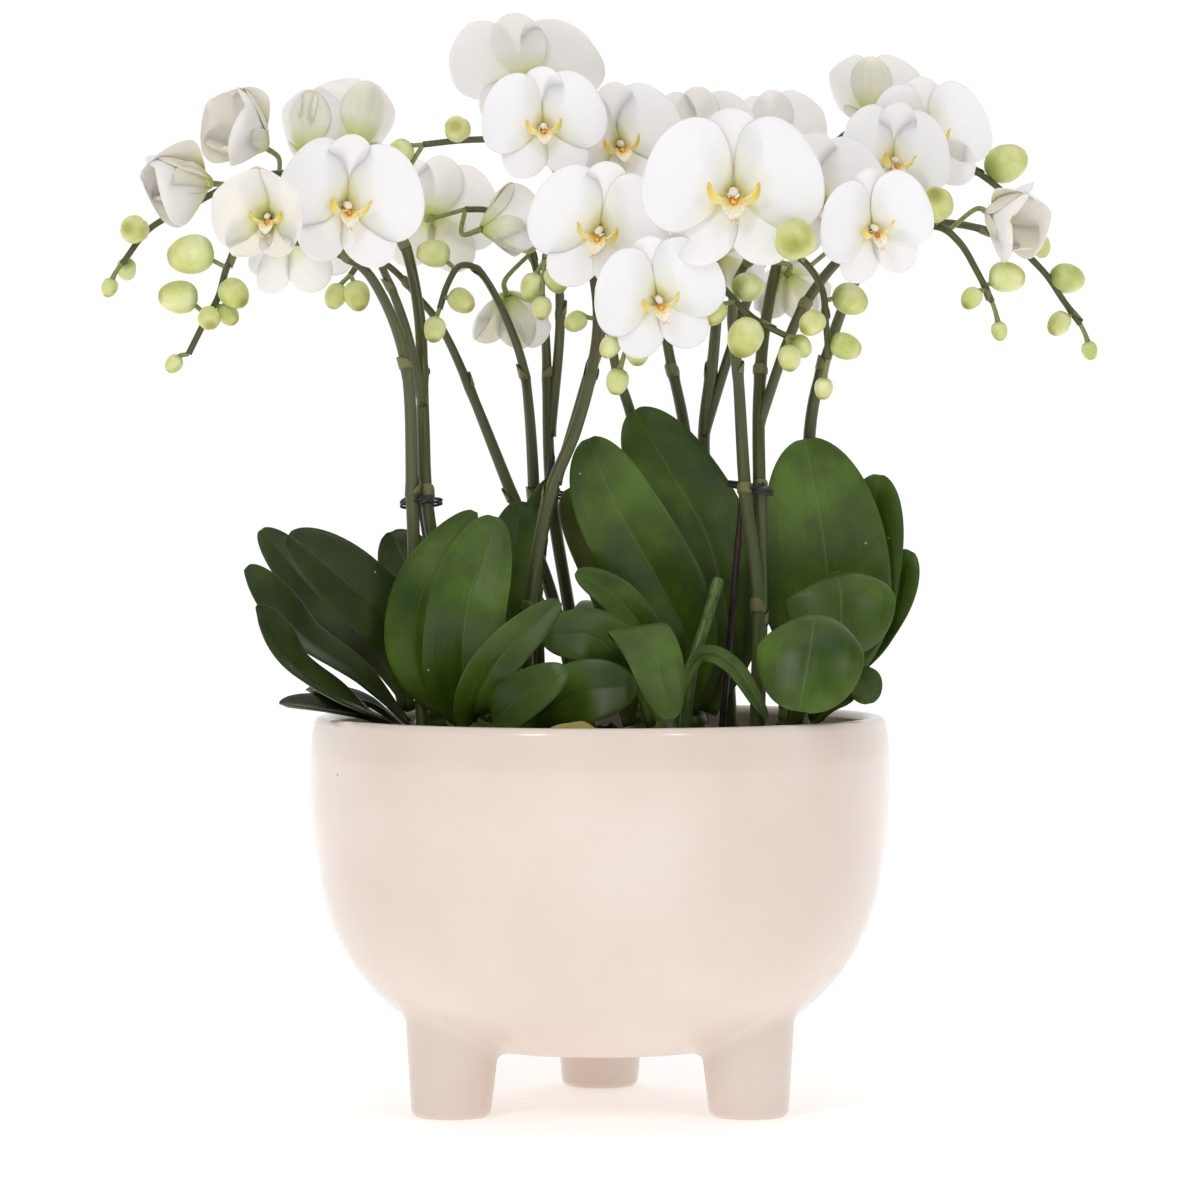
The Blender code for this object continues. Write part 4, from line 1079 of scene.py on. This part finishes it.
def tepal(shape, turn, length, width, behind, is_petal, closing, thickness, draw):
    """One sepal or petal, in the bloom's own frame: x to its side, y up and z to its front."""
    turn = math.radians(turn + draw.uniform(-3, 3))
    out = Vector((math.cos(turn), math.sin(turn), 0))
    side = Vector((math.sin(turn), -math.cos(turn), 0))
    front = Vector((0, 0, 1))
    is_open = closing < 0.25
    lean = closing * (1.25 if is_petal else 1.1)
    curl = draw.uniform(-0.25, 0.15) if is_open else draw.uniform(0.7, 0.95) * closing
    cup = draw.uniform(-0.06, 0.10) if is_open else 0.85 * closing
    phase = draw.uniform(0, 6)
    ruffle = (0.020 if is_petal else 0.012) * width

    def middle(t, s):
        t = t * 0.997
        bent = curl * t / 2 + 0.0001
        chord = length * t * math.sin(bent) / bent
        angle = lean + bent
        half = tepal_half_width(t, is_petal) * width / 2
        bend = cup * half * s * s
        keel = 0.02 * length * math.exp(-(s / 0.12) ** 2) * (1 - t) if is_petal else 0
        wave = ruffle * math.sin(9 * t + phase + 2.2 * s) * s * s * smooth_step(0.15, 0.7, t)
        inward = front * math.cos(angle + bent) - out * math.sin(angle + bent)
        return out * (0.03 + chord * math.cos(angle)) + front * (chord * math.sin(angle) - behind) \
            + side * half * s + inward * (bend + wave - keel)

    upper = 0 if is_petal else 2
    shape.blade(middle, thickness, upper, upper + 1, rows=20, columns=14)


def bloom_frame(bearing, elevation, roll):
    facing = heading(bearing, elevation)
    side = Vector((0, 0, 1)).cross(facing).normalized()
    turned = Matrix((side, facing.cross(side), facing)).transposed()
    return turned @ Matrix.Rotation(math.radians(roll), 3, "Z")


def bloom_lip(shape):
    """The lip and the column, in shares of the bloom's width."""
    def lobe(side):
        def middle(t, s):
            lift = 1.5 * t
            at = Vector((side * (0.030 + 0.115 * math.sin(lift)), -0.055 + 0.100 * t * t,
                         0.055 + 0.080 * t))
            half = (0.046 * (0.45 + 0.55 * math.sin(math.pi * min(t * 1.15, 1) * 0.62))
                    * math.sqrt(1 - t ** 5 * 0.9))
            across = Vector((side * -0.25 * math.cos(lift), 0.55, 0.80)).normalized()
            return at + across * half * s + Vector((side * 0.018 * (s * s - 0.3), 0, 0))
        return middle

    def tongue(t, s):
        half = 0.05 + 0.028 * math.sin(math.pi * t) - 0.042 * t ** 2
        at = Vector((0, -0.055 - 0.12 * t, 0.05 + 0.13 * t - 0.05 * t * t))
        return at + Vector((half * s, 0.030 * s * s * (1 - 0.5 * t), 0.045 * s * s * (1 - t)))

    for side in (-1, 1):
        shape.blade(lobe(side), LOBE_THICKNESS, 1, 1, rows=12, columns=8)
    shape.blade(tongue, TONGUE_THICKNESS, 0, 0, rows=14, columns=10)
    column = [Vector((0, 0.018 - 0.030 * t * t, -0.02 + 0.105 * t))
              for t in (0, 0.2, 0.4, 0.6, 0.75, 0.88, 0.96, 1.0)]
    shape.tube(column, [0.026, 0.025, 0.026, 0.028, 0.029, 0.026, 0.017, 0.006], 16, 3)
    callus = [Vector((0, -0.058, 0.045 + 0.055 * t)) for t in (0, 0.25, 0.5, 0.75, 0.92, 1.0)]
    shape.tube(callus, [0.016, 0.024, 0.028, 0.024, 0.014, 0.004], 14, 2)
    for side in (-1, 1):
        tendril = smooth_path([Vector((side * 0.008, -0.168, 0.125)), Vector((side * 0.022, -0.19, 0.15)),
                               Vector((side * 0.045, -0.18, 0.165)), Vector((side * 0.05, -0.16, 0.155))], 4)
        last = len(tendril) - 1
        shape.tube(tendril, [0.006 - 0.0035 * step / last for step in range(last + 1)], 6, 0)


def bloom(number, at, bearing, elevation, width, closing, roll, looks):
    draw = random.Random(100 + number)
    frame_of_bloom = bloom_frame(bearing, elevation, roll)
    size = width * MM
    petals = Shape()
    for turn, length, wide, behind, is_petal in TEPALS:
        tepal(petals, turn, length, wide * (1 - 0.15 * closing), behind, is_petal, closing,
              PETAL_THICKNESS / size, draw)
    middle = place(*at)
    move_out(petals, size, frame_of_bloom, middle)
    sort = "cream" if closing > 0.4 else "white"
    nodes = [f"flower_{number:02d}"] if f"flower_{number:02d}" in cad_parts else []
    add_piece(f"bloom_{number:02d}", petals, looks[sort], nodes)
    lip = Shape()
    bloom_lip(lip)
    move_out(lip, size * (1 - 0.4 * closing), frame_of_bloom, middle)
    add_piece(f"bloom_{number:02d}_lip", lip, looks["lip"])


def move_out(shape, size, turned, middle):
    """Takes a bloom's points from its own frame and shares of its width to their place."""
    shape.points = [middle + turned @ (point * size) for point in shape.points]


# ---- Supports -----------------------------------------------------------------------------------

def stake(number, foot, top, finish):
    """A thin drawn stake with evenly spaced small beads and a blunt tip."""
    shape = Shape()
    start, end = place(*foot), place(*top)
    length = (end - start).length
    steps = 90
    path = [start.lerp(end, step / steps) for step in range(steps + 1)]
    radii = []
    for step in range(steps + 1):
        spot = length * step / steps / (STAKE_BEAD_SPACING * MM)
        bead = math.exp(-((spot - round(spot)) * STAKE_BEAD_SPACING / STAKE_BEAD_WIDTH) ** 2)
        tip = 1 - 0.75 * smooth_step(0.975, 1.0, step / steps)
        radii.append(STAKE_RADIUS * (0.86 + 0.14 * bead) * tip)
    shape.tube(path, radii, 14, 0)
    add_piece(f"plant_stake_{number}", shape, [finish], [f"stake_{number}"])


def wire_tie(number, at, radius, finish):
    """Coated wire wound twice round the stalks and their stake, its ends twisted together in front."""
    shape = Shape()
    centre = place(*at)
    path = []
    steps = 64
    for step in range(steps + 1):
        turn = -math.pi / 2 + 4 * math.pi * step / steps
        wobble = 1 + 0.06 * math.sin(3 * turn + number)
        path.append(centre + radius * MM * wobble * Vector((math.cos(turn), 0.9 * math.sin(turn), 0))
                    + Vector((0, 0, (-TIE_RISE / 2 + TIE_RISE * step / steps
                                     + TIE_SLANT * math.cos(turn + number)) * MM)))
    shape.tube(path, [TIE_WIRE] * len(path), 8, 0)
    front = centre + Vector((0, -0.8 * radius * MM, 0))
    for side in (0, math.pi):
        twist = []
        for step in range(19):
            turn = side + 4 * math.pi * step / 18
            out = TIE_WIRE * 0.9
            twist.append(front + Vector((out * math.cos(turn) + 0.30 * step * MM, -1 * MM - 0.42 * step * MM,
                                         out * math.sin(turn) + 0.10 * step * MM)))
        shape.tube(twist, [0.8 * TIE_WIRE] * len(twist), 8, 0)
    add_piece(f"wire_tie_{number}", shape, [finish], [f"tie_{number}"])


# ---- Room, light and camera ---------------------------------------------------------------------

def studio():
    """A white floor under soft light from all round, with two tall soft boxes in front."""
    mesh = bpy.data.meshes.new("studio_floor")
    reach = 6
    mesh.from_pydata([(-reach, -reach, 0), (reach, -reach, 0), (reach, reach, 0), (-reach, reach, 0)], [],
                     [(0, 1, 2, 3)])
    floor = bpy.data.objects.new("studio_floor", mesh)
    bpy.context.scene.collection.objects.link(floor)
    paint, tree, shader = new_finish("floor_paint", Roughness=0.9, Base_Color="#FFFFFF",
                                     Emission_Color="#FFFFFF")
    away = add_node(tree, "TexCoord").outputs["Object"]
    away = add_node(tree, "VectorMath", {0: away}, operation="LENGTH").outputs["Value"]
    glow = add_node(tree, "MapRange", {"Value": away, "From Min": 0.25, "From Max": 0.9,
                                       "To Min": NEAR_GLOW, "To Max": FAR_GLOW}).outputs[0]
    feed(shader, Emission_Strength=glow)
    mesh.materials.append(paint)
    world = bpy.data.worlds.new("studio")
    bpy.context.scene.world = world
    world.use_nodes = True
    tree = world.node_tree
    way = add_node(tree, "TexCoord").outputs["Generated"]
    depth = add_node(tree, "SeparateXYZ", {0: way}).outputs["Y"]
    level = add_node(tree, "ValToRGB", {"Fac": add_node(tree, "MapRange", {
        "Value": depth, "From Min": -1, "From Max": 1}).outputs[0]}, stops=[
        (0.20, "#909091"), (0.55, "#969697"), (0.88, "#FFFFFF")])
    tree.links.new(level.outputs["Color"], tree.nodes["Background"].inputs["Color"])
    tree.nodes["Background"].inputs["Strength"].default_value = 1.05
    for name, at, size, power in (
        ("left_box", (-1.0, -1.9, 1.5), (0.35, 0.8), 11),
        ("right_box", (1.2, -1.9, 1.6), (0.3, 0.7), 7),
        ("top_box", (0.0, -0.4, 2.0), (1.6, 1.6), 8),
    ):
        lamp = bpy.data.lights.new(name, "AREA")
        lamp.shape = "RECTANGLE"
        lamp.size, lamp.size_y = size
        lamp.energy = power
        holder = bpy.data.objects.new(name, lamp)
        bpy.context.scene.collection.objects.link(holder)
        holder.location = at
        aim = Vector((0, 0, 0.25)) - Vector(at)
        holder.rotation_euler = aim.to_track_quat("-Z", "Y").to_euler()


def camera():
    lens = bpy.data.cameras.new("camera")
    lens.lens = 146
    lens.sensor_width = 36
    holder = bpy.data.objects.new("camera", lens)
    bpy.context.scene.collection.objects.link(holder)
    holder.location = (0, -2.015, 0.254)
    holder.rotation_euler = (math.radians(90 - 1.26), 0, 0)
    bpy.context.scene.camera = holder


def build():
    camera()
    studio()
    bpy.context.scene.view_settings.view_transform = "Standard"
    bowl(glazed_stoneware())
    damp = pine_bark("damp_pine_bark", "#120C08", "#2A1D15", "#4A3729")
    dry = pine_bark("dry_pine_bark", "#4A382A", "#7D6750", "#A8957C")
    bark(damp)
    bark_chips(damp, dry)
    pebbles({"pale": worn_stone("pale_stone", "#A8A594", "#D9D8C6"),
             "grey": worn_stone("grey_stone", "#56605A", "#8E9A92")})
    upper = leaf_skin("leaf_upper_skin", "#2B430A", "#40580F", "#587420", "#84964A", 0.12)
    # A darker, duller copy of the upper leaf skin: painted shade for the left crown's leaves.
    shaded = leaf_skin("painted_shade_leaf_upper_skin", "#1F2A0C", "#2C3A12", "#3F4F20", "#66743C", 0.12)
    under = leaf_skin("leaf_lower_skin", "#3E4618", "#525A24", "#646C30", "#8C9450", 0.0)
    dry_leaf = leaf_skin("withered_leaf_skin", "#8A7A3E", "#A8974E", "#C2B264", "#D8CC8A", 0.0)
    base = leaf_skin("leaf_base_skin", "#3E4F1E", "#55682C", "#6E7E3C", "#8A9450", 0.05)
    for name, (x, y) in CROWNS.items():
        crown(name, x, y, base)
    for number, (crown_name, start, rib, width, up, fold) in enumerate(LEAVES, 1):
        points = [leaf_root(crown_name, *start)] + [place(*point) for point in rib]
        nodes = [f"leaf_{number:02d}"] if f"leaf_{number:02d}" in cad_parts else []
        # The left crown's leaves take the copy with painted shade.
        skin = shaded if crown_name == "left" else upper
        leaf(f"orchid_leaf_{number:02d}", points, width, up, fold, [skin, under], number, nodes=nodes)
    fallen = [place(*point) for point in FALLEN_LEAF]
    leaf("fallen_leaf_end", fallen, 9, (0, -0.7, 0.7), -0.3, [dry_leaf, dry_leaf], 5, thickness=0.7 * MM)
    cut_stalk([stalk_skin("cut_stalk_skin", "#5B7430", "#86A055", "#3F5220")])
    stalk_green = stalk_skin("stalk_skin", "#44591F", "#545A30", "#4A4028")
    looks = {
        "stalk": [stalk_green, stalk_skin("bract_skin", "#5C6A30", "#6B6A3A", "#857A4E"),
                  stalk_skin("pedicel_skin", "#76863C", "#8A9650", "#6E6A3C")],
        "bud": bud_skin(),
        # The first colour of each petal and sepal finish is painted shade in the bloom's throat.
        "white": [petal_skin("petal_face", "#D8CE86", "#F1EEDC", "#F8F5F7", "#FAF7FA", 0.12),
                  petal_skin("petal_back", "#D2D890", "#EFEBD0", "#FAF4F4", "#FCF7F8", 0.15),
                  petal_skin("sepal_face", "#D8CE86", "#EEEBD2", "#F8F4F4", "#F8F3EE", 0.15),
                  petal_skin("sepal_back", "#CBD383", "#E8E6C0", "#F8F1EC", "#F6EFDC", 0.25)],
        "cream": [petal_skin("cream_petal_face", "#C9CC72", "#E6E6BE", "#F6F0EA", "#F6EFDC", 0.2),
                  petal_skin("cream_petal_back", "#C9D27C", "#E6E6BC", "#FAF4F1", "#F8F1E2", 0.25),
                  petal_skin("cream_sepal_face", "#C6CB6C", "#E0E0AA", "#F6F1E4", "#F1EABC", 0.25),
                  petal_skin("cream_sepal_back", "#BCC86A", "#D6DA98", "#F6F0DA", "#EFE8AE", 0.45)],
        "lip": [lip_skin("lip_tongue", "#EFC84A", "#F7EECB", "#F8F3EC", 0.2),
                lip_skin("lip_wing", "#F6EFDC", "#F1E07E", "#E6C93A", 0.06),
                lip_skin("lip_callus", "#E9A93A", "#E58A2C", "#F0C04A", 0.8),
                # The column's darker yellow-green foot is painted shade under its hood.
                lip_skin("column_skin", "#D8CF8E", "#F3EAE6", "#EFE4D2", 0.1)],
    }
    draw = random.Random(11)
    for name, branches in STALKS.items():
        stalk(name, branches, looks, draw)
    for number, (_, at, bearing, elevation, width, closing, roll) in enumerate(BLOOMS, 1):
        bloom(number, at, bearing, elevation, width, closing, roll, looks)
    stake_looks = {"black": moulded_plastic("black_polypropylene", "#121212", "#2A2A2A", 0.4),
                   "purple": moulded_plastic("purple_polypropylene", "#23110F", "#3E2522", 0.42)}
    for number, (foot, top, sort) in enumerate(STAKES, 1):
        stake(number, foot, top, stake_looks[sort])
    coated = moulded_plastic("coated_wire", "#1B1B1D", "#3A3A3E", 0.5)
    for number, (at, radius) in enumerate(TIES, 1):
        wire_tie(number, at, radius, coated)


build()
